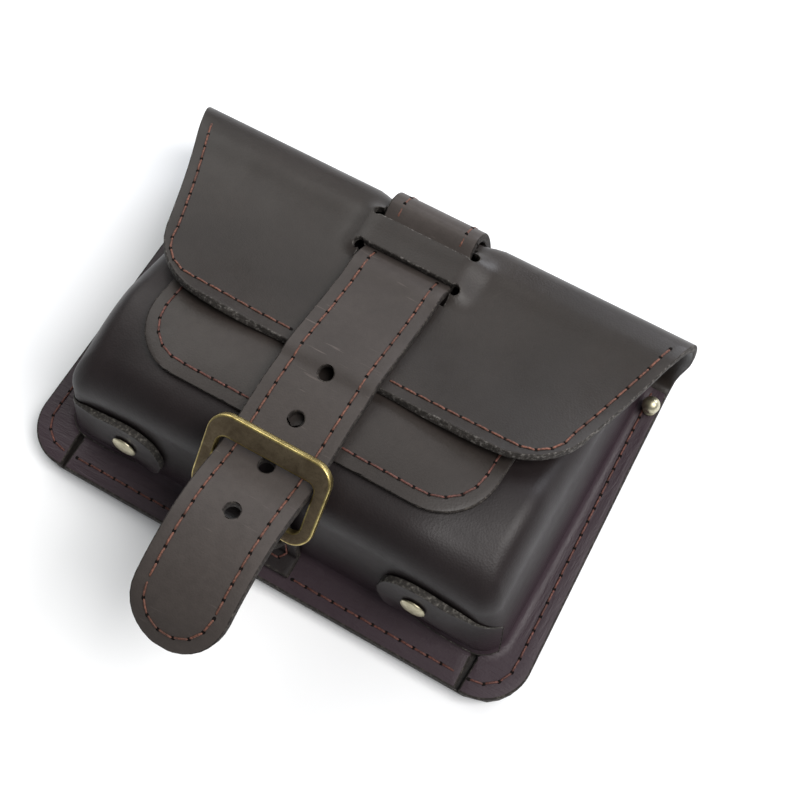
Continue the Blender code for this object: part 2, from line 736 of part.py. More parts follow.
def strap_knots():
    """Middle line of the strap, from the belt loop over the fold to the round tip."""
    half_t = STRAP_T / 2
    knots = [(STRAP_START_Y, half_t), (0.4 * PANEL_LEN, half_t), (0.7 * PANEL_LEN, half_t),
             (0.9 * PANEL_LEN, half_t)]
    middle = 0.5 * (Z_BACK + FOLD_TOP)
    outer = [Vector((p.x, max(p.y, Z_BACK))) for p in spline(sheet_profile(), 2)]
    for k in range(1, len(outer) - 1):
        p = outer[k]
        if p.x < 0.96 * PANEL_LEN or (p.y > middle and p.x < BRIDGE_HIGH_Y + 0.30 * FOLD_REACH):
            continue
        t = (outer[k + 1] - outer[k - 1]).normalized()
        out = Vector((t.y, -t.x))
        stand = 1.6 * GAP + half_t + STRAP_STANDOFF * smoothstep(Z_BACK, middle, p.y)
        q = p + out * stand
        knots.append((q.x - fold_dent(p.x, p.y), max(q.y, half_t)))
    under = BRIDGE_RISE - BACK_T - GAP * 1.5 - half_t
    knots.append((BRIDGE_HIGH_Y - 0.0004, flap_height(BRIDGE_HIGH_Y) + under - 0.0004))
    y = 0.5 * (BRIDGE_LOW_Y + BRIDGE_HIGH_Y)
    knots.append((y, flap_height(y) + under - 0.0006))
    knots.append((BRIDGE_LOW_Y + 0.0004, flap_height(BRIDGE_LOW_Y) + under - 0.0004))
    y = BRIDGE_LOW_Y - SLIT_OPEN_LOW
    knots.append((y + 0.0004, flap_height(y) + SLOPE * half_t + GAP * 2.6))
    y -= 0.006
    while y > FLAP_EDGE_Y + 0.0020:
        knots.append((y, flap_height(y) + SLOPE * half_t + GAP * 1.5))
        y -= 0.0065
    knots.append((FLAP_EDGE_Y - 0.0014, flap_height(FLAP_EDGE_Y) + half_t + GAP * 2.5))
    patch = 3 * GAP + SLOPE * (PATCH_T + half_t)
    y = FLAP_EDGE_Y - 0.0058
    on_patch = face_height(y) + patch
    knots.append((y, max(on_patch + 0.0007, 0.5 * (on_patch + knots[-1][1]) - 0.0008)))
    y = FLAP_EDGE_Y - 0.0128
    knots.append((y, face_height(y) + patch + 0.0003))
    level = strap_level()
    knots.append((PATCH_LOW_Y + 0.004, level))
    start = BUCKLE_Y
    knots.append((start, level))
    for share_y, share_z in TAIL_TABLE:
        knots.append((start - TAIL_LEN * share_y, level + TAIL_RISE * share_z))
    return knots


def strap_normal(points, k):
    a = points[max(k - 1, 0)]
    b = points[min(k + 1, len(points) - 1)]
    t = (b - a).normalized()
    return Vector((0, t.y, -t.x))


def strap_rows(steps, across):
    """Rows of the strap's middle surface, with the tip's half round end."""
    half_t = STRAP_T / 2
    points = clean([Vector((p.x, max(p.y, half_t))) for p in spline(strap_knots(), steps)])
    lengths = [0.0]
    for k in range(1, len(points)):
        lengths.append(lengths[-1] + (points[k] - points[k - 1]).length)
    total = lengths[-1]
    radius = STRAP_W / 2
    body = [p for p, s in zip(points, lengths) if s < total - radius - 0.0015]
    line = list(zip(lengths, points))

    def at(s):
        for k in range(1, len(line)):
            if line[k][0] >= s:
                s0, p0 = line[k - 1]
                s1, p1 = line[k]
                return p0.lerp(p1, (s - s0) / max(s1 - s0, 1e-9))
        return line[-1][1]

    rows = []
    for p in body:
        rows.append([Vector((-radius + 2 * radius * j / across, p.x, p.y)) for j in range(across + 1)])
    for k in range(9):
        a = math.radians(84) * k / 8
        half = radius * math.cos(a)
        p = at(total - radius + radius * math.sin(a))
        rows.append([Vector((-half + 2 * half * j / across, p.x, p.y)) for j in range(across + 1)])
    return rows, points


def build_strap(material, collection, cutters):
    rows, points = strap_rows(2, 4)
    mesh = grid_mesh("strap", rows)
    smooth_mesh(mesh, 40)
    obj = new_object("strap", mesh, material, collection)
    thicken(obj, STRAP_T, 0.0)
    holes = []
    y = BELT_HOLE_FIRST_Y
    high = 0.5 * (Z_BACK + FOLD_TOP)
    for n in range(BELT_HOLE_COUNT):
        for k in range(len(points) - 1):
            a = points[k]
            b = points[k + 1]
            if a.y > high and b.x <= y < a.x:
                p = a.lerp(b, (a.x - y) / (a.x - b.x))
                normal = strap_normal(points, k)
                holes.append((Vector((0, p.x, p.y)), normal))
                break
        y -= BELT_HOLE_PITCH
    cut(obj, cylinder_cutter("belt_holes", holes, BELT_HOLE_D, STRAP_T * 2.2, cutters))
    return obj


def buckle_frame_axes():
    """Middle of the bar that holds the strap, and the frame's direction towards its heel."""
    down = Vector((0, -math.cos(BUCKLE_TILT), -math.sin(BUCKLE_TILT)))
    normal = Vector((0, -math.sin(BUCKLE_TILT), math.cos(BUCKLE_TILT)))
    strap_top = strap_level() + STRAP_T / 2
    inner = Vector((0, BUCKLE_Y, strap_top + GAP + 0.4 * BUCKLE_INNER_R)) + normal * (BUCKLE_T / 2)
    return inner, down, normal


def rounded_loop(width, y0, y1, radius, corner):
    """Rounded rectangle from y0 down to y1, listed corner by corner."""
    half = width / 2
    centres = [(half - radius, y0 + radius, -90), (half - radius, y1 - radius, 0),
               (-half + radius, y1 - radius, 90), (-half + radius, y0 + radius, 180)]
    points = []
    for cx, cy, start in centres:
        for k in range(corner + 1):
            a = math.radians(start + 90 * k / corner)
            points.append((cx + radius * math.cos(a), cy + radius * math.sin(a)))
    return points


def build_buckle(material, collection):
    """Flat rectangular frame with a broad bar above and a heel bar below."""
    inner_edge, down, normal = buckle_frame_axes()
    outer = rounded_loop(BUCKLE_W, -BAR_TOP, BUCKLE_L - BAR_TOP, BUCKLE_CORNER_R, 7)
    window = rounded_loop(BUCKLE_W - 2 * BAR_SIDE, 0.0, BUCKLE_L - BAR_TOP - BAR_HEEL, BUCKLE_INNER_R, 7)
    chamfer = BUCKLE_T * 0.22
    half_t = BUCKLE_T / 2
    bm = bmesh.new()
    rings = []
    for (ox, oy), (wx, wy) in zip(outer, window):
        a = Vector((ox, oy))
        b = Vector((wx, wy))
        toward = (b - a).normalized()
        section = [(a, -half_t + chamfer), (a, half_t - chamfer), (a + toward * chamfer, half_t),
                   (b - toward * chamfer, half_t), (b, half_t - chamfer), (b, -half_t + chamfer),
                   (b - toward * chamfer, -half_t), (a + toward * chamfer, -half_t)]
        ring = []
        for p, h in section:
            place = inner_edge + Vector((p.x, 0, 0)) + down * p.y + normal * h
            ring.append(bm.verts.new(place))
        rings.append(ring)
    count = len(rings)
    for i in range(count):
        for j in range(8):
            bm.faces.new((rings[i][j], rings[i][(j + 1) % 8], rings[(i + 1) % count][(j + 1) % 8],
                          rings[(i + 1) % count][j]))
    bmesh.ops.recalc_face_normals(bm, faces=bm.faces[:])
    mesh = bpy.data.meshes.new("buckle_frame")
    bm.to_mesh(mesh)
    bm.free()
    smooth_mesh(mesh, 35)
    return new_object("buckle_frame", mesh, material, collection)


def tab_knots():
    """Middle line of the holder: up from the flange, round the heel bar and back down."""
    inner_edge, down, normal = buckle_frame_axes()
    heel = inner_edge + down * (BUCKLE_L - BAR_TOP - BAR_HEEL / 2)
    half_t = TAB_T / 2
    lie = Z_FLANGE + GAP * 1.3 + half_t
    off = GAP * 2 + half_t
    knots = [(TAB_START_Y, lie), (POCKET_FOOT_Y - ROOT_R - 0.0016, lie)]
    a = math.radians(50)
    r = ROOT_R - off
    centre_y = POCKET_FOOT_Y - ROOT_R
    centre_z = Z_FLANGE + ROOT_R
    knots.append((centre_y + r * math.sin(a), centre_z - r * math.cos(a) + GAP))
    for share in (0.165, 0.285, 0.415):
        point, _ = wall_outer(0.0, share * POCKET_DEPTH)
        knots.append((point.y - off - GAP, point.z))
    clear_w = BAR_HEEL / 2 + GAP * 2 + half_t
    clear_t = BUCKLE_T / 2 + GAP * 2 + half_t
    knots.append((heel.y - 0.6 * clear_w - 0.0008, heel.z - 1.9 * clear_w))
    ring = [heel + down * (clear_w * 1.12 * math.cos(math.radians(g)))
            + normal * (clear_t * 1.12 * math.sin(math.radians(g))) for g in (45, 90, 135, 180, 225, 270)]
    for p in ring:
        knots.append((p.y, p.z))
    last = ring[-1]
    knots.append((last.y + 0.0006, last.z - 0.35 * TAB_RETURN))
    knots.append((last.y + 0.0010, last.z - TAB_RETURN))
    return knots


def build_tab(material, collection):
    points = clean(spline(tab_knots(), 3))
    across = 4
    rows = []
    for p in points:
        rows.append([Vector((TAB_W / 2 - TAB_W * j / across, p.x, p.y)) for j in range(across + 1)])
    mesh = grid_mesh("buckle_tab", rows)
    smooth_mesh(mesh, 40)
    obj = new_object("buckle_tab", mesh, material, collection)
    thicken(obj, TAB_T, 0.0)
    return obj


def main():
    for obj in list(bpy.data.objects):
        bpy.data.objects.remove(obj, do_unlink=True)
    pouch = bpy.data.collections.new("leather_belt_pouch")
    cutters = bpy.data.collections.new("cutters")
    bpy.context.scene.collection.children.link(pouch)
    bpy.context.scene.collection.children.link(cutters)
    back = make_material("back_leather", (0.060, 0.052, 0.044), 0.42, 0.0)
    front = make_material("front_leather", (0.048, 0.040, 0.040), 0.38, 0.0)
    strap = make_material("strap_leather", (0.070, 0.058, 0.050), 0.48, 0.0)
    raw = make_material("ear_leather", (0.055, 0.043, 0.043), 0.55, 0.0)
    brass = make_material("antique_brass", (0.200, 0.150, 0.080), 0.34, 1.0)
    rivet = make_material("rivet_brass", (0.400, 0.370, 0.270), 0.40, 1.0)
    build_back_and_flap(back, pouch, cutters)
    build_pocket(front, pouch, cutters)
    build_patch(front, pouch)
    build_ear("corner_ear_left", -1, raw, pouch)
    build_ear("corner_ear_right", 1, raw, pouch)
    build_rivet("ear_rivet_left", -1, rivet, pouch)
    build_rivet("ear_rivet_right", 1, rivet, pouch)
    build_stud("ball_stud_left", -1, rivet, pouch)
    build_stud("ball_stud_right", 1, rivet, pouch)
    build_strap(strap, pouch, cutters)
    build_buckle(brass, pouch)
    build_tab(front, pouch)
    origin = bpy.data.objects.new("pouch_origin", None)
    origin.location = (0.0, -REST_Y, 0.0)
    pouch.objects.link(origin)
    for obj in list(pouch.objects) + list(cutters.objects):
        if obj is not origin:
            obj.parent = origin


main()
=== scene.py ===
"""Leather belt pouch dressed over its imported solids, with camera, floor and light."""

import math

import bmesh
import bpy
from mathutils import Matrix, Vector, noise


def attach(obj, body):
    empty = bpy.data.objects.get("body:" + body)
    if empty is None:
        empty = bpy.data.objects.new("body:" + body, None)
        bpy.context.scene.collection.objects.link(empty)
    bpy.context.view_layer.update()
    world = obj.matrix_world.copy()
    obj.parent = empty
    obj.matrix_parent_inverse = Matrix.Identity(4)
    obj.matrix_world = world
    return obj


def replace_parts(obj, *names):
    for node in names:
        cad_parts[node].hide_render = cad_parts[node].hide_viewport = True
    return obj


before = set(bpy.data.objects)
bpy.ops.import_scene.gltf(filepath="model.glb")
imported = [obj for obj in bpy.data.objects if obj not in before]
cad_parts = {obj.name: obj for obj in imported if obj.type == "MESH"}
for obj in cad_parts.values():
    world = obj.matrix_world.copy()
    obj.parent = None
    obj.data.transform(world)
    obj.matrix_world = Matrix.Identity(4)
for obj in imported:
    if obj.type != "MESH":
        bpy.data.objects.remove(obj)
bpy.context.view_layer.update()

# clearance between neighbouring pieces
GAP = 0.0003

# shortest length that a division is made by
TINY = 1e-9

# spacing of a profile's knots on the flap
KNOT_STEP = 0.0065

# leather thicknesses
BACK_T = 0.0026
FRONT_T = 0.0022
STRAP_T = 0.0028
PATCH_T = 0.0020
EAR_T = 0.0023
TAB_T = 0.0022

# moulded pocket
POCKET_HALF = 0.0770
POCKET_FOOT_Y = 0.0132
POCKET_DEPTH = 0.0456
POCKET_CORNER_R = 0.0080
WALL_LEAN_SIDE = 0.0030
WALL_LEAN_BOTTOM = 0.0040
LEFT_LEAN = 0.0065
ROOT_R = 0.0030
EDGE_R = 0.0130
EDGE_IN_SIDE = 0.0085
FACE_CROWN = 0.0016
CORNER_DROP = 0.0085
CORNER_DROP_LEN = 0.0450

# back panel and flange
PANEL_LEN = 0.1135
FLANGE_BOTTOM = 0.0110
FLANGE_TOP = 0.0070
PANEL_HALF_BOTTOM = POCKET_HALF + FLANGE_BOTTOM
PANEL_HALF_TOP = POCKET_HALF + FLANGE_TOP
PANEL_CORNER_R = 0.0145
CORNER_SLIT_IN = 0.0022
CORNER_SLIT_OUT = 0.0010
CORNER_SLIT_X = POCKET_HALF - 0.0058
CORNER_SLIT_LEN = POCKET_FOOT_Y + 0.0016

# fold and flap
FOLD_REACH = 0.0133
FOLD_HALF = PANEL_HALF_TOP + 0.0028
FOLD_DENT = 0.0024
FLAP_EDGE_Y = 0.0576
FLAP_HALF_END = 0.0680
FLAP_LEFT_IN = 0.0045
FLAP_CORNER_R = 0.0160
FLAP_LIFT = 0.0020
SLOPE = 1.08

# place of the origin along the belt loop, from the bottom edge
REST_Y = 0.0600

# strap and the bridge it runs under
STRAP_W = 0.0300
STRAP_START_Y = 0.0160
STRAP_STANDOFF = 0.0008
BRIDGE_LOW_Y = PANEL_LEN - 0.0143
BRIDGE_W = 0.0101
BRIDGE_RISE = BACK_T + 0.0008
SLIT_OPEN_LOW = STRAP_T + 0.0040
SLIT_OPEN_HIGH = STRAP_T + 0.0020
SLIT_SIDE = 0.0008
SLIT_HOLE_D = 0.0032
TAIL_LEN = 0.0585
TAIL_RISE = 0.0064
BELT_HOLE_D = 0.0046
BELT_HOLE_PITCH = 0.0163
BELT_HOLE_FIRST_Y = 0.0534
BELT_HOLE_COUNT = 4

# front patch
PATCH_HALF = POCKET_HALF - 0.0192
PATCH_LOW_Y = POCKET_FOOT_Y + WALL_LEAN_BOTTOM + EDGE_R + 0.0022
PATCH_HIGH_Y = FLAP_EDGE_Y + 0.0184
PATCH_CORNER_R = 0.0180

# corner ears and their rivets
EAR_REACH = POCKET_HALF - 0.0390
EAR_LOW = 0.0007
EAR_HIGH = POCKET_DEPTH - EDGE_R - 0.0026
RIVET_D = 0.0082
RIVET_H = 0.0012
RIVET_X = EAR_REACH + 0.0125
RIVET_HEIGHT = 0.63 * EAR_HIGH

# ball studs at the top corners of the flange
STUD_X = POCKET_HALF + 0.0044
STUD_Y = PANEL_LEN - 0.0075
STUD_BASE_D = 0.0044
STUD_BASE_H = 0.0008
STUD_NECK_D = 0.0030
STUD_BALL_D = 0.0056
STUD_H = 0.0068

# buckle and its holder
STRAP_PLAY = 0.0007
BAR_TOP = 0.0070
BAR_SIDE = 0.0042
BAR_HEEL = 0.0040
BUCKLE_W = STRAP_W + 2 * (STRAP_PLAY + BAR_SIDE)
BUCKLE_L = 0.0277
BUCKLE_T = 0.0026
BUCKLE_CORNER_R = 0.0065
BUCKLE_INNER_R = 0.0026
BUCKLE_TILT = math.radians(42.0)
BUCKLE_Y = POCKET_FOOT_Y + 0.0104
TAB_W = 0.7 * STRAP_W
TAB_START_Y = 0.0040
TAB_RETURN = 0.0090

# levels that follow from the thicknesses
Z_BACK = STRAP_T + GAP
Z_PANEL = Z_BACK + BACK_T
Z_FLANGE = Z_PANEL + GAP + FRONT_T

# front face: share of the panel length, share of the pocket depth
FACE_TABLE = [(0.000, 1.000), (0.250, 1.000), (0.335, 1.000), (0.405, 0.980), (0.458, 0.950),
              (0.511, 0.897), (0.564, 0.849), (0.634, 0.787), (0.705, 0.726), (0.775, 0.669),
              (0.846, 0.623), (0.916, 0.596), (1.000, 0.575)]

# lift of the flap off the face, as shares of the panel length and of the back leather
LIFT_TABLE = [(0.500, 0.00), (0.700, 0.02), (0.775, 0.22), (0.846, 0.42), (0.875, 0.50),
              (0.920, 0.66), (0.965, 0.84), (1.100, 1.00)]

# fold, from the flap round to the back: share of FOLD_REACH, share of the fold height
FOLD_TABLE = [(0.353, 0.966), (0.560, 0.935), (0.735, 0.885), (0.875, 0.800), (0.960, 0.690),
              (1.000, 0.560), (1.000, 0.420), (0.975, 0.280), (0.910, 0.165), (0.790, 0.075),
              (0.610, 0.018), (0.420, 0.000)]

# strap tail beyond the buckle bar: share of TAIL_LEN, share of TAIL_RISE
TAIL_TABLE = [(0.100, 0.230), (0.230, 0.680), (0.330, 0.920), (0.460, 1.000), (0.600, 0.850),
              (0.730, 0.560), (0.860, 0.080), (0.950, -0.450), (1.000, -0.800)]

# upper outline of an ear, from its round end to the corner: share of its run, share of height
EAR_TOP = [(0.00, 0.60), (0.04, 0.79), (0.12, 0.92), (0.26, 1.00), (0.55, 1.00), (0.76, 0.94),
           (0.88, 0.80), (1.00, 0.56)]
EAR_LOW_EDGE = [(0.00, 0.48), (0.04, 0.31), (0.12, 0.16), (0.26, 0.04), (0.45, 0.00), (1.00, 0.00)]


def hermite(t):
    """Weights of the start, its slope, the end and its slope at a share of a span."""
    start = 2 * t ** 3 - 3 * t ** 2 + 1
    end = -2 * t ** 3 + 3 * t ** 2
    return start, t ** 3 - 2 * t ** 2 + t, end, t ** 3 - t ** 2


def lookup(table, x):
    """Smooth curve through the points of a short table."""
    if x <= table[0][0]:
        return table[0][1]
    if x >= table[-1][0]:
        return table[-1][1]
    k = 0
    while table[k + 1][0] < x:
        k += 1
    slopes = [(b[1] - a[1]) / (b[0] - a[0]) for a, b in zip(table, table[1:])]
    before = 0.5 * (slopes[max(k - 1, 0)] + slopes[k])
    after = 0.5 * (slopes[min(k + 1, len(slopes) - 1)] + slopes[k])
    span = table[k + 1][0] - table[k][0]
    a, b, c, d = hermite((x - table[k][0]) / span)
    return a * table[k][1] + b * span * before + c * table[k + 1][1] + d * span * after


def spline(knots, steps):
    """Catmull-Rom curve through 2D knots, with the given steps between neighbours."""
    knots = [Vector(knot) for knot in knots]
    points = []
    for k in range(len(knots) - 1):
        p0 = knots[max(k - 1, 0)]
        p1 = knots[k]
        p2 = knots[k + 1]
        p3 = knots[min(k + 2, len(knots) - 1)]
        d0, d1, d2 = [max((b - a).length, TINY) for a, b in ((p0, p1), (p1, p2), (p2, p3))]
        m1 = (p2 - p0) * (d1 / (d0 + d1)) if k > 0 else p2 - p1
        m2 = (p3 - p1) * (d1 / (d1 + d2)) if k + 2 < len(knots) else p2 - p1
        for i in range(steps):
            a, b, c, d = hermite(i / steps)
            points.append(a * p1 + b * m1 + c * p2 + d * m2)
    points.append(knots[-1])
    return points


def clamp(share):
    return min(max(share, 0.0), 1.0)


def smoothstep(a, b, x):
    t = clamp((x - a) / (b - a))
    return t * t * (3 - 2 * t)


def face_height(y):
    """Height of the pocket's front face on the centre line."""
    return Z_FLANGE + POCKET_DEPTH * lookup(FACE_TABLE, y / PANEL_LEN)


def face_point(x, y):
    """Height of the pocket's front face, crowned across and lower at its bottom corners."""
    near = 1 - smoothstep(POCKET_FOOT_Y, POCKET_FOOT_Y + CORNER_DROP_LEN, y)
    drop = CORNER_DROP * near * smoothstep(0.5, 1.0, abs(x) / POCKET_HALF)
    return face_height(y) - FACE_CROWN * (x / POCKET_HALF) ** 2 - drop


def flap_height(y):
    """Height of the flap's outer face on the centre line, below the fold."""
    lift = BACK_T * lookup(LIFT_TABLE, y / PANEL_LEN)
    return face_height(y) + SLOPE * (PATCH_T + BACK_T) + 3 * GAP + lift


BRIDGE_HIGH_Y = BRIDGE_LOW_Y + BRIDGE_W
FOLD_Y = BRIDGE_HIGH_Y + FOLD_REACH
FOLD_TOP = flap_height(BRIDGE_HIGH_Y)
FOLD_MIDDLE = 0.5 * (Z_BACK + FOLD_TOP)
SLIT_HALF = STRAP_W / 2 + SLIT_SIDE
SLIT_EDGES = (BRIDGE_LOW_Y - SLIT_OPEN_LOW, BRIDGE_LOW_Y, BRIDGE_HIGH_Y,
              BRIDGE_HIGH_Y + SLIT_OPEN_HIGH)


def sheet_profile():
    """Outer face of the back-and-flap leather, from the bottom edge to the flap's edge."""
    knots = [(share * PANEL_LEN, Z_BACK) for share in (0.0, 0.3, 0.6, 0.85, 0.95)]
    for share_y, share_z in reversed(FOLD_TABLE):
        knots.append((BRIDGE_HIGH_Y + FOLD_REACH * share_y, Z_BACK + (FOLD_TOP - Z_BACK) * share_z))
    knots.append((BRIDGE_HIGH_Y, FOLD_TOP))
    y = BRIDGE_HIGH_Y
    while y - KNOT_STEP > FLAP_EDGE_Y + 0.0010:
        y -= KNOT_STEP
        knots.append((y, flap_height(y)))
    knots.append((FLAP_EDGE_Y, flap_height(FLAP_EDGE_Y)))
    return knots


def panel_half(y):
    """Half width of the back panel and flange, without the rounded corners."""
    return PANEL_HALF_BOTTOM + (PANEL_HALF_TOP - PANEL_HALF_BOTTOM) * clamp(y / PANEL_LEN)


def round_corner(distance, radius):
    """How far the side steps in at a distance from the end of a rounded outline."""
    if distance >= radius:
        return 0.0
    return radius - math.sqrt(max(radius ** 2 - (radius - distance) ** 2, 0.0))


def to_mesh(bm, name):
    mesh = bpy.data.meshes.new(name)
    bm.to_mesh(mesh)
    bm.free()
    return mesh


def grid_mesh(name, rows, skip=None, close=False):
    """Open surface from rows of points, leaving out the quads that skip names."""
    bm = bmesh.new()
    verts = [[bm.verts.new(p) for p in row] for row in rows]
    for i in range(len(rows) - 1):
        for j in range(len(rows[0]) - 1):
            if skip is None or not skip(i, j):
                bm.faces.new((verts[i][j], verts[i + 1][j], verts[i + 1][j + 1], verts[i][j + 1]))
    if close:
        bmesh.ops.remove_doubles(bm, verts=bm.verts[:], dist=0.00002)
    bmesh.ops.delete(bm, geom=[v for v in bm.verts if not v.link_faces], context="VERTS")
    return to_mesh(bm, name)


def flap_share(y):
    """Place on the flap, from the fold (0) to its free edge (1)."""
    return clamp((FOLD_Y - y) / (FOLD_Y - FLAP_EDGE_Y))


def flap_half(y):
    """Half width of the flap, without its rounded corners."""
    return FOLD_HALF + (FLAP_HALF_END - FOLD_HALF) * flap_share(y)


def crossing(points, y):
    """Span of the profile's upper run that passes a place, and its point there."""
    for k, (a, b) in enumerate(zip(points, points[1:])):
        if a.y > FOLD_MIDDLE and b.x <= y < a.x:
            return k, a.lerp(b, (a.x - y) / (a.x - b.x))
    return None


def sheet_rows(steps):
    """Profile points of the back-and-flap sheet, one for each of its rows."""
    points = [Vector((p.x, max(p.y, Z_BACK))) for p in spline(sheet_profile(), steps)]
    for mark in SLIT_EDGES:
        k, point = crossing(points, mark)
        points.insert(k + 1, point)
    # closely spaced rows at the rounded ends
    shares = [1 - math.cos(math.radians(15 * k)) for k in range(7)]
    start = [Vector((PANEL_CORNER_R * share, Z_BACK)) for share in shares[1:]]
    rest = [p for p in points[1:] if p.x > start[-1].x + 0.002 or p.y > FOLD_MIDDLE]
    ys = [FLAP_EDGE_Y + FLAP_CORNER_R * share for share in reversed(shares)]
    ends = [Vector((y, flap_height(y))) for y in ys]
    points = [points[0]] + start + rest
    return clean([p for p in points if p.x > ends[0].x + 0.0015 or p.y < FOLD_MIDDLE] + ends)


def clean(points):
    """Drop points that lie closer than a tenth of a millimetre to the one before."""
    kept = [points[0]]
    for p in points[1:]:
        if (p - kept[-1]).length > 0.0001:
            kept.append(p)
    return kept


def sheet_half(y, z):
    """Half width of the back-and-flap sheet at a place of its profile."""
    if z <= Z_BACK + 0.0001 and y <= PANEL_LEN:
        return panel_half(y) - round_corner(y, PANEL_CORNER_R)
    if z < FOLD_MIDDLE:
        return PANEL_HALF_TOP + (FOLD_HALF - PANEL_HALF_TOP) * smoothstep(Z_BACK, FOLD_MIDDLE, z)
    return flap_half(y) - round_corner(y - FLAP_EDGE_Y, FLAP_CORNER_R)


def bridge_bump(x, y):
    """Rise of the bridge that the strap runs under, and of the flap beside it."""
    if abs(x) < SLIT_HALF:
        return BRIDGE_RISE if BRIDGE_LOW_Y - 0.00001 <= y <= BRIDGE_HIGH_Y + 0.00001 else 0.0
    reach = 0.0070
    side = 1 - smoothstep(SLIT_HALF + 0.0005, SLIT_HALF + 0.0075, abs(x))
    run = smoothstep(BRIDGE_LOW_Y - reach, BRIDGE_LOW_Y, y)
    run *= 1 - smoothstep(BRIDGE_HIGH_Y, BRIDGE_HIGH_Y + reach, y)
    return BRIDGE_RISE * side * run


def fold_dent(y, z):
    """How far the strap presses the upper half of the fold in at a place of its profile."""
    rising = smoothstep(Z_BACK, FOLD_MIDDLE, z)
    return FOLD_DENT * rising * smoothstep(BRIDGE_HIGH_Y + SLIT_OPEN_HIGH + 0.0010, FOLD_Y, y)


def sheet_point(x, y, z, half):
    """Point of the back-and-flap sheet's outer face."""
    place = y - fold_dent(y, z) * (1 - smoothstep(SLIT_HALF - 0.0015, SLIT_HALF + 0.0060, abs(x)))
    if z > FOLD_MIDDLE:
        outward = smoothstep(0.35, 1.0, abs(x) / half)
        z += FLAP_LIFT * clamp((BRIDGE_HIGH_Y - y) / (BRIDGE_HIGH_Y - FLAP_EDGE_Y)) * outward
        z += bridge_bump(x, y)
        if x < 0:
            x += FLAP_LEFT_IN * flap_share(y) * outward
    return Vector((x, place, z))


def sheet_columns(half, inner, outer):
    """Places across the sheet: fixed ones at the slits, shares of the width outside them."""
    fixed = [-SLIT_HALF + 2 * SLIT_HALF * k / inner for k in range(inner + 1)]
    side = [SLIT_HALF + (half - SLIT_HALF) * (k / outer) for k in range(1, outer + 1)]
    return [-x for x in reversed(side)] + fixed + side


def wall_profile(lean, edge_in, arc):
    """Pocket wall in section: step in from the foot, height above the flange."""
    points = []
    for k in range(arc + 1):
        a = 0.5 * math.pi * k / arc
        points.append((-ROOT_R + ROOT_R * math.sin(a), ROOT_R * (1 - math.cos(a))))
    top = POCKET_DEPTH - EDGE_R
    for k in (1, 2):
        t = k / 3
        points.append((lean * t, ROOT_R + (top - ROOT_R) * t))
    for k in range(arc + 3):
        a = 0.5 * math.pi * k / (arc + 2)
        points.append((lean + edge_in * (1 - math.cos(a)), top + EDGE_R * math.sin(a)))
    return points


def mirrored_u(side, radius, low, arc, flat):
    """U in plan from the leg on its right: its corner, its lower run and the left half."""
    x_end, y_end = side[-1]
    for k in range(1, arc + 1):
        a = 0.5 * math.pi * k / arc
        side.append((x_end - radius * (1 - math.cos(a)), y_end - radius * math.sin(a)))
    x_low = side[-1][0]
    middle = [(x_low - 2 * x_low * k / flat, low) for k in range(1, flat)]
    return side + middle + [(-x, y) for x, y in reversed(side)]


def u_path(half, low, radius, top, counts, half_top):
    """Open U in plan from its left top; counts of steps on leg, corner and bottom."""
    leg, corner, bottom = counts
    start = low + radius
    shares = [k / leg for k in range(leg + 1)]
    side = [(half_top + (half - half_top) * t, top + (start - top) * t) for t in shares]
    return mirrored_u(side, radius, low, corner, bottom)[::-1]


def lean_left(x, y, share):
    """Place across the pocket, whose left wall leans further in towards the fold."""
    if x >= 0:
        return x
    run = clamp((y - POCKET_FOOT_Y) / (PANEL_LEN - POCKET_FOOT_Y))
    return x + LEFT_LEAN * run * min(share * 1.4, 1.0) * (abs(x) / POCKET_HALF) ** 2


def corner_radius(step):
    """Radius of the pocket's corners in plan where the wall has stepped in."""
    return max(POCKET_CORNER_R - 0.5 * step, POCKET_CORNER_R * 0.4)


def pocket_rows(counts, arc, inner):
    """Rings of the pocket's outer face, from the flange's edge to the middle of the face."""
    side = wall_profile(WALL_LEAN_SIDE, EDGE_IN_SIDE, arc)
    base = wall_profile(WALL_LEAN_BOTTOM, EDGE_R, arc)

    def ring(half, low, radius, half_top=None):
        return u_path(half, low, radius, PANEL_LEN, counts, half_top or half)

    edge = ring(PANEL_HALF_BOTTOM, 0.0, PANEL_CORNER_R, PANEL_HALF_TOP)
    root = ring(POCKET_HALF + ROOT_R, POCKET_FOOT_Y - ROOT_R, POCKET_CORNER_R + ROOT_R)
    middle = [(0.5 * (a[0] + b[0]), 0.5 * (a[1] + b[1])) for a, b in zip(edge, root)]
    rows = [[Vector((x, y, Z_FLANGE)) for x, y in path] for path in (edge, middle)]
    for (step, height), (low, _) in zip(side, base):
        share = height / POCKET_DEPTH
        row = []
        for x, y in ring(POCKET_HALF - step, POCKET_FOOT_Y + low, corner_radius(step)):
            z = Z_FLANGE + (face_point(x, y) - Z_FLANGE) * share
            row.append(Vector((lean_left(x, y, share), y, z)))
        rows.append(row)
    half = POCKET_HALF - side[-1][0]
    low = POCKET_FOOT_Y + base[-1][0]
    radius = corner_radius(side[-1][0])
    spine = low + 0.45 * (PANEL_LEN - low)
    for k in range(1, inner + 1):
        f = k / inner
        path = ring(half * (1 - f), low + (spine - low) * f, radius * (1 - f))
        rows.append([Vector((lean_left(x, y, 1.0), y, face_point(x, y))) for x, y in path])
    return rows


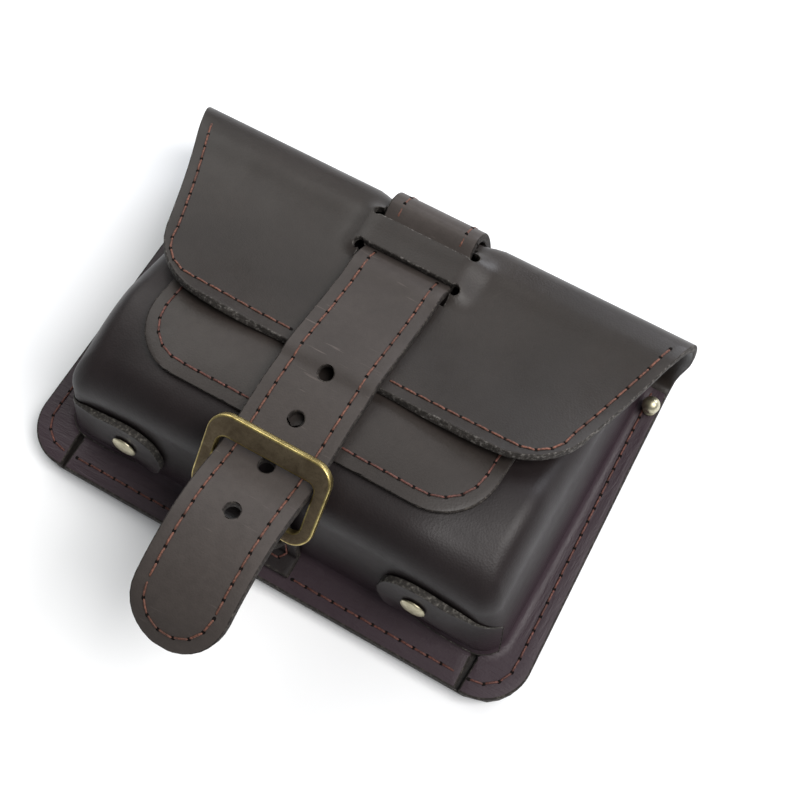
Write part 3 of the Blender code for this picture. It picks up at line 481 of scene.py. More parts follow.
def wall_outer(x, height):
    """Point and outward normal of the bottom wall, round its right corner and up the side."""
    top = POCKET_DEPTH - EDGE_R
    tilt = 0.5 * math.pi
    if height < ROOT_R:
        tilt = math.acos(max(1 - height / ROOT_R, -1.0))
        step_low = -ROOT_R * (1 - math.sin(tilt))
        step_side = step_low
    elif height < top:
        t = (height - ROOT_R) / (top - ROOT_R)
        step_low = WALL_LEAN_BOTTOM * t
        step_side = WALL_LEAN_SIDE * t
    else:
        a = math.asin(min((height - top) / EDGE_R, 1.0))
        step_low = WALL_LEAN_BOTTOM + EDGE_R * (1 - math.cos(a))
        step_side = WALL_LEAN_SIDE + EDGE_IN_SIDE * (1 - math.cos(a))
    radius = corner_radius(step_side)
    centre = POCKET_HALF - step_side - radius
    over = max(x - centre, 0.0)
    a = min(over / radius, 0.5 * math.pi)
    wide = min(x, centre) + radius * math.sin(a)
    y = POCKET_FOOT_Y + step_low + radius * (1 - math.cos(a)) + over - radius * a
    rise = height * (face_point(wide, y) - Z_FLANGE) / POCKET_DEPTH
    flat = math.sin(tilt)
    normal = Vector((math.sin(a) * flat, -math.cos(a) * flat, math.cos(tilt)))
    return Vector((wide, y, Z_FLANGE + rise)), normal


def ear_place(side, point, height):
    """Place on the left or right wall of a point worked out for the right one."""
    return Vector((lean_left(side * point.x, point.y, height / POCKET_DEPTH), point.y, point.z))


def strap_level():
    """Height of the strap's middle where it passes under the buckle's bar."""
    return face_height(PATCH_LOW_Y) + 3 * GAP + PATCH_T + STRAP_T / 2


def strap_knots():
    """Middle line of the strap, from the belt loop over the fold to the round tip."""
    half_t = STRAP_T / 2
    knots = [(STRAP_START_Y, half_t)] + [(share * PANEL_LEN, half_t) for share in (0.4, 0.7, 0.9)]
    outer = [Vector((p.x, max(p.y, Z_BACK))) for p in spline(sheet_profile(), 2)]
    for before, p, after in zip(outer, outer[1:], outer[2:]):
        past_top = p.y > FOLD_MIDDLE and p.x < BRIDGE_HIGH_Y + 0.30 * FOLD_REACH
        if p.x < 0.96 * PANEL_LEN or past_top:
            continue
        t = (after - before).normalized()
        stand = 1.6 * GAP + half_t + STRAP_STANDOFF * smoothstep(Z_BACK, FOLD_MIDDLE, p.y)
        q = p + Vector((t.y, -t.x)) * stand
        knots.append((q.x - fold_dent(p.x, p.y), max(q.y, half_t)))
    # under the bridge, then out of the lower slit and down the flap
    under = BRIDGE_RISE - BACK_T - GAP * 1.5 - half_t
    knots.append((BRIDGE_HIGH_Y - 0.0004, flap_height(BRIDGE_HIGH_Y) + under - 0.0004))
    y = 0.5 * (BRIDGE_LOW_Y + BRIDGE_HIGH_Y)
    knots.append((y, flap_height(y) + under - 0.0006))
    knots.append((BRIDGE_LOW_Y + 0.0004, flap_height(BRIDGE_LOW_Y) + under - 0.0004))
    y = BRIDGE_LOW_Y - SLIT_OPEN_LOW
    knots.append((y + 0.0004, flap_height(y) + SLOPE * half_t + GAP * 2.6))
    y -= 0.006
    while y > FLAP_EDGE_Y + 0.0020:
        knots.append((y, flap_height(y) + SLOPE * half_t + GAP * 1.5))
        y -= KNOT_STEP
    knots.append((FLAP_EDGE_Y - 0.0014, flap_height(FLAP_EDGE_Y) + half_t + GAP * 2.5))
    # off the flap's edge and along the patch
    patch = 3 * GAP + SLOPE * (PATCH_T + half_t)
    y = FLAP_EDGE_Y - 0.0058
    on_patch = face_height(y) + patch
    knots.append((y, max(on_patch + 0.0007, 0.5 * (on_patch + knots[-1][1]) - 0.0008)))
    y = FLAP_EDGE_Y - 0.0128
    knots.append((y, face_height(y) + patch + 0.0003))
    level = strap_level()
    knots += [(PATCH_LOW_Y + 0.004, level), (BUCKLE_Y, level)]
    for share_y, share_z in TAIL_TABLE:
        knots.append((BUCKLE_Y - TAIL_LEN * share_y, level + TAIL_RISE * share_z))
    return knots


def strap_normal(points, k):
    t = (points[min(k + 1, len(points) - 1)] - points[max(k - 1, 0)]).normalized()
    return Vector((0, t.y, -t.x))


def run_lengths(points):
    """Length along a line up to each of its points."""
    lengths = [0.0]
    for a, b in zip(points, points[1:]):
        lengths.append(lengths[-1] + (b - a).length)
    return lengths


def span_at(points, lengths, s):
    """End of the span that holds a length along a line, and the point there."""
    k = 1
    while lengths[k] < s:
        k += 1
    return k, points[k - 1].lerp(points[k], (s - lengths[k - 1]) / (lengths[k] - lengths[k - 1]))


def cross_row(p, half, count):
    """Evenly spaced points across a strip at a place of its profile."""
    return [Vector((-half + 2 * half * j / count, p.x, p.y)) for j in range(count + 1)]


def strap_rows(steps, count):
    """Rows of the strap's middle surface, with the tip's half round end."""
    radius = STRAP_W / 2
    points = clean([Vector((p.x, max(p.y, STRAP_T / 2))) for p in spline(strap_knots(), steps)])
    lengths = run_lengths(points)
    straight = lengths[-1] - radius
    rows = [cross_row(p, radius, count) for p, s in zip(points, lengths) if s < straight - 0.0015]
    for k in range(9):
        a = math.radians(84) * k / 8
        _, p = span_at(points, lengths, straight + radius * math.sin(a))
        rows.append(cross_row(p, radius * math.cos(a), count))
    return rows, points


def buckle_frame_axes():
    """Middle of the bar that holds the strap, and the frame's direction towards its heel."""
    down = Vector((0, -math.cos(BUCKLE_TILT), -math.sin(BUCKLE_TILT)))
    normal = Vector((0, -math.sin(BUCKLE_TILT), math.cos(BUCKLE_TILT)))
    strap_top = strap_level() + STRAP_T / 2
    inner = Vector((0, BUCKLE_Y, strap_top + GAP + 0.4 * BUCKLE_INNER_R)) + normal * (BUCKLE_T / 2)
    return inner, down, normal


def rounded_loop(width, y0, y1, radius, corner):
    """Rounded rectangle from y0 down to y1, listed corner by corner."""
    half = width / 2
    centres = [(half - radius, y0 + radius, -90), (half - radius, y1 - radius, 0),
               (-half + radius, y1 - radius, 90), (-half + radius, y0 + radius, 180)]
    points = []
    for cx, cy, start in centres:
        for k in range(corner + 1):
            a = math.radians(start + 90 * k / corner)
            points.append((cx + radius * math.cos(a), cy + radius * math.sin(a)))
    return points


def tab_knots():
    """Middle line of the holder: up from the flange, round the heel bar and back down."""
    inner_edge, down, normal = buckle_frame_axes()
    heel = inner_edge + down * (BUCKLE_L - BAR_TOP - BAR_HEEL / 2)
    half_t = TAB_T / 2
    lie = Z_FLANGE + GAP * 1.3 + half_t
    off = GAP * 2 + half_t
    knots = [(TAB_START_Y, lie), (POCKET_FOOT_Y - ROOT_R - 0.0016, lie)]
    a = math.radians(50)
    r = ROOT_R - off
    centre_y = POCKET_FOOT_Y - ROOT_R
    centre_z = Z_FLANGE + ROOT_R
    knots.append((centre_y + r * math.sin(a), centre_z - r * math.cos(a) + GAP))
    for share in (0.165, 0.285, 0.415):
        point, _ = wall_outer(0.0, share * POCKET_DEPTH)
        knots.append((point.y - off - GAP, point.z))
    clear_w = BAR_HEEL / 2 + GAP * 2 + half_t
    clear_t = BUCKLE_T / 2 + GAP * 2 + half_t
    knots.append((heel.y - 0.6 * clear_w - 0.0008, heel.z - 1.9 * clear_w))
    loose = 1.12
    for k in range(1, 7):
        a = math.radians(45 * k)
        p = heel + down * (clear_w * loose * math.cos(a)) + normal * (clear_t * loose * math.sin(a))
        knots.append((p.y, p.z))
    knots.append((p.y + 0.0006, p.z - 0.35 * TAB_RETURN))
    knots.append((p.y + 0.0010, p.z - TAB_RETURN))
    return knots


SHIFT = Matrix.Translation((0.0, -REST_Y, 0.0))


def new_object(name, data):
    obj = bpy.data.objects.new(name, data)
    bpy.context.scene.collection.objects.link(obj)
    return obj


def add(name, mesh, slot, *materials):
    """New piece of the pouch, moved from the drawing's origin to the frame's."""
    mesh.transform(SHIFT)
    for material in materials:
        mesh.materials.append(material)
    obj = new_object(name, mesh)
    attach(obj, "root")
    return obj


def smooth(mesh, angle):
    mesh.shade_smooth()
    mesh.set_sharp_from_angle(angle=math.radians(angle))


def bake(obj, angle):
    """Replace the mesh by the evaluated one, shaded smooth up to an angle."""
    bpy.context.view_layer.update()
    deps = bpy.context.evaluated_depsgraph_get()
    mesh = bpy.data.meshes.new_from_object(obj.evaluated_get(deps))
    old = obj.data
    obj.modifiers.clear()
    obj.data = mesh
    bpy.data.meshes.remove(old)
    smooth(mesh, angle)


def cutter(bm, material):
    """Tool that cuts a sheet and leaves its own material on the cut."""
    mesh = to_mesh(bm, "cutter")
    mesh.materials.append(material)
    return new_object("cutter", mesh)


def stand(centre, axis):
    """Matrix that stands what is drawn along z at a point, along an axis."""
    turn = Vector((0, 0, 1)).rotation_difference(axis).to_matrix().to_4x4()
    return Matrix.Translation(centre) @ turn


def punch(centre, axis, diameter, length, material):
    bm = bmesh.new()
    radius = diameter / 2
    bmesh.ops.create_cone(bm, cap_ends=True, segments=32, radius1=radius, radius2=radius,
                          depth=length, matrix=SHIFT @ stand(centre, axis))
    return cutter(bm, material)


def modify(obj, name, kind, **settings):
    mod = obj.modifiers.new(name, kind)
    for key, value in settings.items():
        setattr(mod, key, value)


def leather_sheet(name, rows, thickness, offset, slot, materials, skip=None, close=False,
                  cutters=(), round_edge=0.00055, weights=None):
    """Thick sheet of leather with rounded cut edges in their own material."""
    obj = add(name, grid_mesh(name, rows, skip, close), slot, *materials)
    modify(obj, "Thickness", "SOLIDIFY", thickness=thickness, offset=offset, use_rim=True,
           material_offset_rim=1)
    if weights is not None:
        group = obj.vertex_groups.new(name="thickness")
        for k, weight in enumerate(w for row in weights for w in row):
            group.add([k], weight, "REPLACE")
        obj.modifiers["Thickness"].vertex_group = "thickness"
        obj.modifiers["Thickness"].thickness_vertex_group = 0.0
    for tool in cutters:
        modify(obj, "Cut", "BOOLEAN", operation="DIFFERENCE", solver="EXACT", object=tool)
    modify(obj, "Edge", "BEVEL", width=round_edge, segments=3, limit_method="ANGLE",
           angle_limit=math.radians(60), use_clamp_overlap=False, material=1)
    bake(obj, 38)
    for tool in cutters:
        mesh = tool.data
        bpy.data.objects.remove(tool, do_unlink=True)
        bpy.data.meshes.remove(mesh)
    return obj


class Nodes:
    """Short way to write a material's nodes."""

    def __init__(self, name, roughness, metallic, specular):
        self.material = bpy.data.materials.new(name)
        self.material.use_nodes = True
        self.tree = self.material.node_tree
        self.shader = self.tree.nodes["Principled BSDF"]
        self.fill(self.shader, {"Roughness": roughness, "Metallic": metallic,
                                "Specular IOR Level": specular})
        self.coords = self.node("ShaderNodeTexCoord").outputs["Object"]
        self.bump_out = None

    def fill(self, node, values):
        """Link each input to the socket given for it, or set it to the value."""
        for key, value in values.items():
            if isinstance(value, bpy.types.NodeSocket):
                self.tree.links.new(value, node.inputs[key])
            else:
                node.inputs[key].default_value = value

    def node(self, kind, values=None, **settings):
        node = self.tree.nodes.new(kind)
        for key, value in settings.items():
            setattr(node, key, value)
        self.fill(node, values or {})
        return node

    def noise(self, scale, detail=4.0, rough=0.55, distortion=0.0, turn=(0, 0, 0)):
        """Noise of one scale, or drawn out where a scale is given for each axis."""
        coords = self.coords
        if isinstance(scale, tuple):
            values = {"Vector": coords, "Scale": scale, "Rotation": turn}
            coords = self.node("ShaderNodeMapping", values).outputs["Vector"]
            scale = 1.0
        values = {"Vector": coords, "Scale": scale, "Detail": detail, "Roughness": rough,
                  "Distortion": distortion}
        return self.node("ShaderNodeTexNoise", values).outputs["Fac"]

    def ramp(self, value, stops):
        node = self.node("ShaderNodeValToRGB", {"Fac": value})
        elements = node.color_ramp.elements
        for element, (position, color) in zip(elements, (stops[0], stops[-1])):
            element.position = position
            element.color = (*color, 1.0)
        for position, color in stops[1:-1]:
            elements.new(position).color = (*color, 1.0)
        return node.outputs["Color"]

    def remap(self, value, low, high, to_low, to_high):
        values = {"Value": value, "From Min": low, "From Max": high, "To Min": to_low,
                  "To Max": to_high}
        return self.node("ShaderNodeMapRange", values).outputs["Result"]

    def times(self, a, b):
        return self.node("ShaderNodeMath", {0: a, 1: b}, operation="MULTIPLY").outputs["Value"]

    def mix(self, factor, base, color):
        values = {"Factor": factor, 6: base, 7: (*color, 1.0)}
        return self.node("ShaderNodeMix", values, data_type="RGBA").outputs[2]

    def bump(self, height, distance, strength):
        values = {"Height": height, "Distance": distance, "Strength": strength}
        if self.bump_out is not None:
            values["Normal"] = self.bump_out
        self.bump_out = self.node("ShaderNodeBump", values).outputs["Normal"]

    def done(self, color, roughness=None):
        values = {"Base Color": color, "Roughness": roughness, "Normal": self.bump_out}
        self.fill(self.shader, {key: value for key, value in values.items() if value is not None})
        return self.material


def tone(color, share):
    return tuple(c * share for c in color)


def leather(name, color, rough, creases_and_flange_sheen=False, scratches=False, shine=0.33):
    """Smooth waxed leather: fine pores, soft mottling, faint creases and scuffs."""
    n = Nodes(name, rough, 0.0, shine)
    broad = n.noise(26.0, 3.0, 0.5, 0.4)
    fine = n.noise(420.0, 5.0, 0.6)
    cells = n.node("ShaderNodeTexVoronoi", {"Vector": n.coords, "Scale": 1500.0})
    pores = cells.outputs["Distance"]
    base = n.ramp(broad, [(0.30, tone(color, 0.80)), (0.52, color), (0.72, tone(color, 1.22))])
    base = n.mix(n.remap(fine, 0.35, 0.70, 0.0, 0.35), base, tone(color, 0.62))
    base = n.mix(n.times(n.remap(pores, 0.05, 0.22, 1.0, 0.0), 0.35), base, tone(color, 0.35))
    gloss = n.remap(n.noise(60.0, 4.0, 0.6), 0.30, 0.75, rough - 0.07, rough + 0.09)
    n.bump(broad, 0.0012, 0.06)
    n.bump(fine, 0.00003, 0.14)
    n.bump(pores, 0.00008, 0.32)
    if creases_and_flange_sheen:
        # creases along the bottom flange and up the side ones; the lower part of the pocket and its
        # flange are also painted lighter and more purple, as painted sheen of light on the flange
        lines = n.noise((90.0, 620.0, 620.0), 4.0, 0.65, 0.6, (0, 0, 0.06))
        sides = n.noise((620.0, 90.0, 620.0), 4.0, 0.65, 0.6)
        split = n.node("ShaderNodeSeparateXYZ", {"Vector": n.coords})
        low = n.remap(split.outputs["Z"], 0.0075, 0.0260, 1.0, 0.0)
        near = n.remap(split.outputs["Y"], -0.040, -0.030, 1.0, 0.0)
        far = n.remap(split.outputs["Y"], -0.044, -0.034, 0.0, 1.0)
        n.bump(n.times(n.times(lines, low), near), 0.0007, 0.42)
        n.bump(n.times(n.times(sides, low), far), 0.0006, 0.36)
        # painted sheen: the low part is mixed towards a lighter, more purple colour that stands in
        # for light falling on the flange
        base = n.mix(n.times(low, 0.65), base, (color[0] * 3.4, color[1] * 3.0, color[2] * 3.8))
    if scratches:
        marks = n.noise((70.0, 900.0, 200.0), 2.0, 0.5, 0.2, (0, 0, 0.9))
        base = n.mix(n.remap(marks, 0.68, 0.76, 0.0, 0.5), base, tone(color, 2.6))
    return n.done(base, gloss)


def cut_edge(name, color, pale, amount):
    """Cut edge of leather: matted fibres, darker where it was dyed."""
    n = Nodes(name, 0.78, 0.0, 0.25)
    fibre = n.noise(900.0, 6.0, 0.7)
    tuft = n.noise(260.0, 4.0, 0.6)
    base = n.ramp(fibre, [(0.36, tone(color, 0.5)), (0.52, color), (0.66, pale)])
    base = n.mix(n.remap(tuft, 0.35, 0.65, 1.0 - amount, 0.0), base, tone(color, 0.7))
    n.bump(tuft, 0.0006, 0.6)
    n.bump(fibre, 0.00035, 0.8)
    return n.done(base)


def thread(name, color):
    """Waxed twisted thread."""
    n = Nodes(name, 0.62, 0.0, 0.35)
    twist = n.noise(1500.0, 3.0, 0.5)
    patch = n.noise(130.0, 2.0, 0.5)
    base = n.ramp(twist, [(0.30, tone(color, 0.35)), (0.50, color), (0.72, tone(color, 1.9))])
    base = n.mix(n.remap(patch, 0.42, 0.66, 0.0, 0.6), base, tone(color, 0.38))
    n.bump(twist, 0.0002, 0.8)
    return n.done(base)


# near-black discs painted on the leather as the shade inside the needle holes
def needle_hole_shade():
    n = Nodes("needle_hole_shade", 0.9, 0.0, 0.1)
    stops = [(0.3, (0.002, 0.0015, 0.0015)), (0.8, (0.010, 0.008, 0.007))]
    return n.done(n.ramp(n.noise(700.0), stops))


def brass(name, color, dark, rough, spread):
    """Brass with a patina that is thicker in patches."""
    n = Nodes(name, rough, 1.0, 0.5)
    patch = n.noise(190.0, 5.0, 0.62, 0.5)
    speck = n.noise(1400.0, 3.0, 0.6)
    between = tuple(0.5 * (a + b) for a, b in zip(color, dark))
    base = n.ramp(patch, [(0.5 - spread, dark), (0.5, between), (0.5 + spread, color)])
    base = n.mix(n.remap(speck, 0.52, 0.68, 0.0, 0.45), base, dark)
    gloss = n.remap(patch, 0.3, 0.7, rough + 0.10, rough - 0.05)
    n.bump(speck, 0.00006, 0.5)
    n.bump(patch, 0.00012, 0.4)
    return n.done(base, gloss)


LEATHER_BACK = leather("back_leather_detail", (0.0182, 0.0142, 0.0122), 0.43)
LEATHER_FRONT = leather("front_leather_detail", (0.0125, 0.0088, 0.0092), 0.46, creases_and_flange_sheen=True,
                        shine=0.27)
LEATHER_PATCH = leather("patch_leather_detail", (0.0235, 0.0186, 0.0164), 0.44)
LEATHER_STRAP = leather("strap_leather_detail", (0.0435, 0.0362, 0.0330), 0.50, scratches=True,
                        shine=0.25)
LEATHER_TAB = leather("tab_leather_detail", (0.0110, 0.0078, 0.0080), 0.42)
EDGE_DARK = cut_edge("leather_edge_dark", (0.022, 0.018, 0.016), (0.075, 0.066, 0.056), 0.5)
EDGE_FLAP = cut_edge("leather_edge_flap", (0.032, 0.028, 0.025), (0.150, 0.140, 0.130), 0.8)
EDGE_RAW = cut_edge("leather_edge_raw", (0.030, 0.027, 0.024), (0.120, 0.112, 0.100), 0.9)
THREAD = thread("thread_red_brown", (0.100, 0.037, 0.028))
THREAD_LIGHT = thread("thread_orange_brown", (0.118, 0.047, 0.031))
HOLE_SHADE = needle_hole_shade()
BRASS_FACE = brass("antique_brass_face", (0.300, 0.235, 0.150), (0.120, 0.090, 0.056), 0.42, 0.20)
# brass of the rounded rims: rubbed brass, with a painted highlight along them
BRASS_RIM_WEAR_AND_HIGHLIGHT = brass("antique_brass_rim_wear_and_highlight", (0.640, 0.520, 0.210), (0.230, 0.175, 0.070), 0.30, 0.18)
BRASS_PALE = brass("pale_brass_cap", (0.600, 0.560, 0.420), (0.360, 0.330, 0.220), 0.38, 0.16)


def spaced(points):
    """Rows at least 0.6 mm apart, keeping those on the slits' edges."""
    def on_edge(p):
        return any(abs(p.x - mark) < 0.000001 for mark in SLIT_EDGES)

    kept = [points[0]]
    for p in points[1:-1]:
        if (p - kept[-1]).length >= 0.0006:
            kept.append(p)
        elif on_edge(p) and not on_edge(kept[-1]):
            kept[-1] = p
    return kept + [points[-1]]


def dressed_back():
    """Back panel, fold and flap in one sheet, with a round hole at each end of the slits."""
    places = spaced(sheet_rows(7))
    inner = 14
    outer = 22
    rows = []
    for p in places:
        half = sheet_half(p.x, p.y)
        rows.append([sheet_point(x, p.x, p.y, half) for x in sheet_columns(half, inner, outer)])

    def skip(i, j):
        a, b = places[i:i + 2]
        y = 0.5 * (a.x + b.x)
        in_slit = SLIT_EDGES[0] < y < SLIT_EDGES[1] or SLIT_EDGES[2] < y < SLIT_EDGES[3]
        return in_slit and min(a.y, b.y) >= FOLD_MIDDLE and outer <= j < outer + inner

    holes = []
    for y in (BRIDGE_LOW_Y - 0.36 * SLIT_HOLE_D, BRIDGE_HIGH_Y + 0.36 * SLIT_HOLE_D):
        for side in (-1, 1):
            centre = Vector((side * (SLIT_HALF + 0.22 * SLIT_HOLE_D), y, flap_height(y)))
            holes.append(punch(centre, Vector((0, 0, 1)), SLIT_HOLE_D, 0.02, EDGE_FLAP))
    obj = leather_sheet("back_fold_flap_leather", rows, BACK_T, -1.0, "back_leather",
                        (LEATHER_BACK, EDGE_FLAP), skip=skip, cutters=holes, round_edge=0.0004)
    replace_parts(obj, "back_panel_flap")


def dressed_pocket():
    """Moulded front with its flange, which is slit at both bottom corners."""
    rows = [row[::-1] for row in pocket_rows((30, 12, 36), 8, 10)]
    x = CORNER_SLIT_X
    a = CORNER_SLIT_IN / 2
    b = CORNER_SLIT_OUT / 2
    outline = [(x - a, CORNER_SLIT_LEN), (x - b, -0.002), (x + b, -0.002), (x + a, CORNER_SLIT_LEN)]
    wedges = []
    for side in (-1, 1):
        bm = bmesh.new()
        base = bm.faces.new([bm.verts.new((side * px, py, Z_PANEL - 0.001)) for px, py in outline])
        grown = bmesh.ops.extrude_face_region(bm, geom=[base])
        top = [v for v in grown["geom"] if isinstance(v, bmesh.types.BMVert)]
        bmesh.ops.translate(bm, verts=top, vec=(0, 0, Z_FLANGE - Z_PANEL + 0.004))
        bmesh.ops.recalc_face_normals(bm, faces=bm.faces[:])
        bm.transform(SHIFT)
        wedges.append(cutter(bm, EDGE_DARK))
    obj = leather_sheet("front_pocket_leather", rows, FRONT_T, -1.0, "front_leather",
                        (LEATHER_FRONT, EDGE_DARK), close=True, cutters=wedges)
    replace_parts(obj, "front_pocket")


def dressed_patch():
    ys = [PATCH_LOW_Y + PATCH_CORNER_R * (1 - math.cos(math.radians(6 * k))) for k in range(16)]
    steps = 18
    ys += [ys[15] + (PATCH_HIGH_Y - ys[15]) * k / steps for k in range(1, steps + 1)]
    count = 40
    rows = []
    for y in ys:
        half = PATCH_HALF - round_corner(y - PATCH_LOW_Y, PATCH_CORNER_R)
        xs = [half - 2 * half * j / count for j in range(count + 1)]
        rows.append([Vector((x, y, face_point(x, y) + GAP)) for x in xs])
    obj = leather_sheet("front_patch_leather", rows, PATCH_T, 1.0, "front_leather",
                        (LEATHER_PATCH, EDGE_DARK))
    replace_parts(obj, "front_patch")


def dressed_ear(word, side):
    """Ear whose lower edge and corner end are pared down into the wall."""
    end = POCKET_HALF - POCKET_CORNER_R + 1.15 * POCKET_CORNER_R
    count = 44
    levels = 16
    rows = []
    pared = []
    for i in range(count + 1):
        share = (i / count) ** 1.35
        run = EAR_REACH + (end - EAR_REACH) * share
        high = EAR_LOW + (EAR_HIGH - EAR_LOW) * lookup(EAR_TOP, share)
        low = EAR_LOW + (EAR_HIGH - EAR_LOW) * lookup(EAR_LOW_EDGE, share)
        row = []
        weights = []
        for j in range(levels + 1):
            height = low + (high - low) * j / levels
            point, normal = wall_outer(run, height)
            thin = max(smoothstep(0.60, 1.0, i / count),
                       (1 - smoothstep(0.0, 0.45, j / levels)) * smoothstep(0.10, 0.45, i / count))
            row.append(ear_place(side, point + normal * (GAP * (1.6 - 1.4 * thin)), height))
            weights.append(1.0 - 0.94 * thin)
        if side > 0:
            row.reverse()
            weights.reverse()
        rows.append(row)
        pared.append(weights)
    obj = leather_sheet("ear_%s_leather" % word, rows[::-1], EAR_T, 1.0, "ear_leather",
                        (LEATHER_FRONT, EDGE_RAW), round_edge=0.0003, weights=pared[::-1])
    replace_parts(obj, "corner_ear_" + word)


def revolve(name, node, profile, centre, axis):
    """Turned brass piece from a profile that runs down its outer side."""
    bm = bmesh.new()
    place = stand(centre, axis)
    verts = [bm.verts.new(place @ Vector((r, 0, z))) for r, z in profile]
    edges = [bm.edges.new(pair) for pair in zip(verts, verts[1:])]
    bmesh.ops.spin(bm, geom=verts + edges, cent=centre, axis=axis, angle=2 * math.pi, steps=48,
                   use_merge=True, use_duplicate=False)
    bmesh.ops.remove_doubles(bm, verts=bm.verts[:], dist=0.000005)
    bmesh.ops.recalc_face_normals(bm, faces=bm.faces[:])
    mesh = to_mesh(bm, name)
    smooth(mesh, 40)
    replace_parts(add(name, mesh, "rivet_brass", BRASS_PALE), node)


def dressed_metal():
    """Rivet caps on the ears and ball studs on the flange."""
    lean = math.atan2(WALL_LEAN_BOTTOM, POCKET_DEPTH - EDGE_R - ROOT_R)
    axis = Vector((0, -math.cos(lean), math.sin(lean)))
    point, _ = wall_outer(RIVET_X, RIVET_HEIGHT)
    radius = RIVET_D / 2
    turns = [math.radians(9 * k) for k in range(11)]
    cap = [(radius * math.sin(t), RIVET_H * (0.35 + 0.65 * math.cos(t))) for t in turns]
    cap += [(radius * 0.985, 0.00010), (radius * 0.93, 0.0), (0.0, 0.0)]
    ball = STUD_BALL_D / 2
    neck = math.pi - math.asin(STUD_NECK_D / STUD_BALL_D)
    turns = [neck * k / 14 for k in range(15)]
    stud = [(ball * math.sin(t), STUD_H - ball + ball * math.cos(t)) for t in turns]
    stud += [(STUD_NECK_D / 2, STUD_BASE_H * 1.3), (STUD_BASE_D * 0.40, STUD_BASE_H),
             (STUD_BASE_D / 2, STUD_BASE_H * 0.55), (STUD_BASE_D / 2, 0.0), (0.0, 0.0)]
    for side, word in ((-1, "left"), (1, "right")):
        centre = Vector((side * point.x, point.y, point.z)) + axis * (EAR_T + GAP * 3.0)
        revolve("rivet_cap_" + word, "ear_rivet_" + word, cap, centre, axis)
        centre = Vector((side * STUD_X, STUD_Y, Z_FLANGE + GAP))
        revolve("stud_" + word, "ball_stud_" + word, stud, centre, Vector((0, 0, 1)))


def dressed_strap():
    rows, points = strap_rows(7, 12)
    holes = []
    y = BELT_HOLE_FIRST_Y
    for _ in range(BELT_HOLE_COUNT):
        k, p = crossing(points, y)
        holes.append(punch(Vector((0, p.x, p.y)), strap_normal(points, k), BELT_HOLE_D,
                           STRAP_T * 2.2, EDGE_DARK))
        y -= BELT_HOLE_PITCH
    obj = leather_sheet("strap_leather", rows, STRAP_T, 0.0, "strap_leather",
                        (LEATHER_STRAP, EDGE_DARK), cutters=holes, round_edge=0.0004)
    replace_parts(obj, "strap")
    return points


def dressed_tab():
    points = clean(spline(tab_knots(), 8))
    rows = [cross_row(p, -TAB_W / 2, 10) for p in points]
    obj = leather_sheet("holder_leather", rows, TAB_T, 0.0, "front_leather",
                        (LEATHER_TAB, EDGE_DARK))
    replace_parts(obj, "buckle_tab")
    return points


def dressed_buckle():
    """Flat frame: dark patina on its face; its rounded edges are bright, partly worn brass and
    partly a painted highlight along the rims.
    """
    inner_edge, down, normal = buckle_frame_axes()
    outer = rounded_loop(BUCKLE_W, -BAR_TOP, BUCKLE_L - BAR_TOP, BUCKLE_CORNER_R, 16)
    window = rounded_loop(BUCKLE_W - 2 * BAR_SIDE, 0.0, BUCKLE_L - BAR_TOP - BAR_HEEL,
                          BUCKLE_INNER_R, 16)
    round_r = BUCKLE_T * 0.26
    arc = 4
    bm = bmesh.new()
    rings = []
    for outside, inside in zip(outer, window):
        a = Vector(outside)
        b = Vector(inside)
        corners = []
        for p, toward in ((a, (b - a).normalized()), (b, (a - b).normalized())):
            for top in (1, -1):
                corner = []
                for k in range(arc + 1):
                    t = 0.5 * math.pi * k / arc
                    spot = p + toward * (round_r * (1 - math.cos(t)))
                    rise = top * (BUCKLE_T / 2 - round_r * (1 - math.sin(t)))
                    across = inner_edge + Vector((spot.x, 0, 0))
                    corner.append(across + down * spot.y + normal * rise)
                corners.append(corner)
        # up the outer side to the top face, across, down the inner side, back underneath
        loop = corners[1][::-1] + corners[0] + corners[2][::-1] + corners[3]
        rings.append([bm.verts.new(p) for p in loop])
    width = len(rings[0])
    face_quads = {2 * arc + 1, 4 * arc + 3}
    for ring, after in zip(rings, rings[1:] + rings[:1]):
        for j in range(width):
            n = (j + 1) % width
            face = bm.faces.new((ring[j], ring[n], after[n], after[j]))
            # rounded edges take the bright brass: wear plus a painted highlight along the rims
            face.material_index = 0 if j in face_quads else 1
    bmesh.ops.recalc_face_normals(bm, faces=bm.faces[:])
    mesh = to_mesh(bm, "buckle_brass")
    smooth(mesh, 50)
    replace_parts(add("buckle_brass", mesh, "antique_brass", BRASS_FACE, BRASS_RIM_WEAR_AND_HIGHLIGHT), "buckle_frame")


# stitching
PITCH = 0.0047
THREAD_R = 0.00033
THREAD_FLAT = 0.85
HOLE_LONG = 0.00078
HOLE_WIDE = 0.00058
HOLE_RISE = 0.00005
WOBBLE = 0.00010
WOBBLE_SCALE = 900.0
SLANT = 0.00012
FLAP_INSET = 0.0038
PATCH_INSET = 0.0042
FLANGE_INSET = 0.0046
STRAP_INSET = 0.0043
HOLDER_INSET = 0.0036
HOLDER_SEAM_LEN = 0.0260

# thread of one stitch: share of the pitch, lift and thickness as shares of the thread's radius
STITCH = ((0.07, -0.45, 0.82), (0.14, 0.25, 1.0), (0.32, 0.62, 1.0), (0.55, 0.70, 1.0),
          (0.76, 0.55, 1.0), (0.87, 0.20, 1.0), (0.94, -0.45, 0.82))


def even_places(line):
    """Points and directions at an even pitch along a polyline of (point, normal)."""
    lengths = run_lengths([p for p, _ in line])
    count = max(int(lengths[-1] / PITCH), 1)
    places = []
    k = 1
    for n in range(count + 1):
        s = min(n * (lengths[-1] / count), lengths[-1])
        while k < len(line) - 1 and lengths[k] < s:
            k += 1
        t = (s - lengths[k - 1]) / max(lengths[k] - lengths[k - 1], TINY)
        normal = line[k - 1][1].lerp(line[k][1], t).normalized()
        places.append((line[k - 1][0].lerp(line[k][0], t), normal))
    return places


def circle(count):
    turns = [2 * math.pi * q / count for q in range(count)]
    return [(math.cos(a), math.sin(a)) for a in turns]


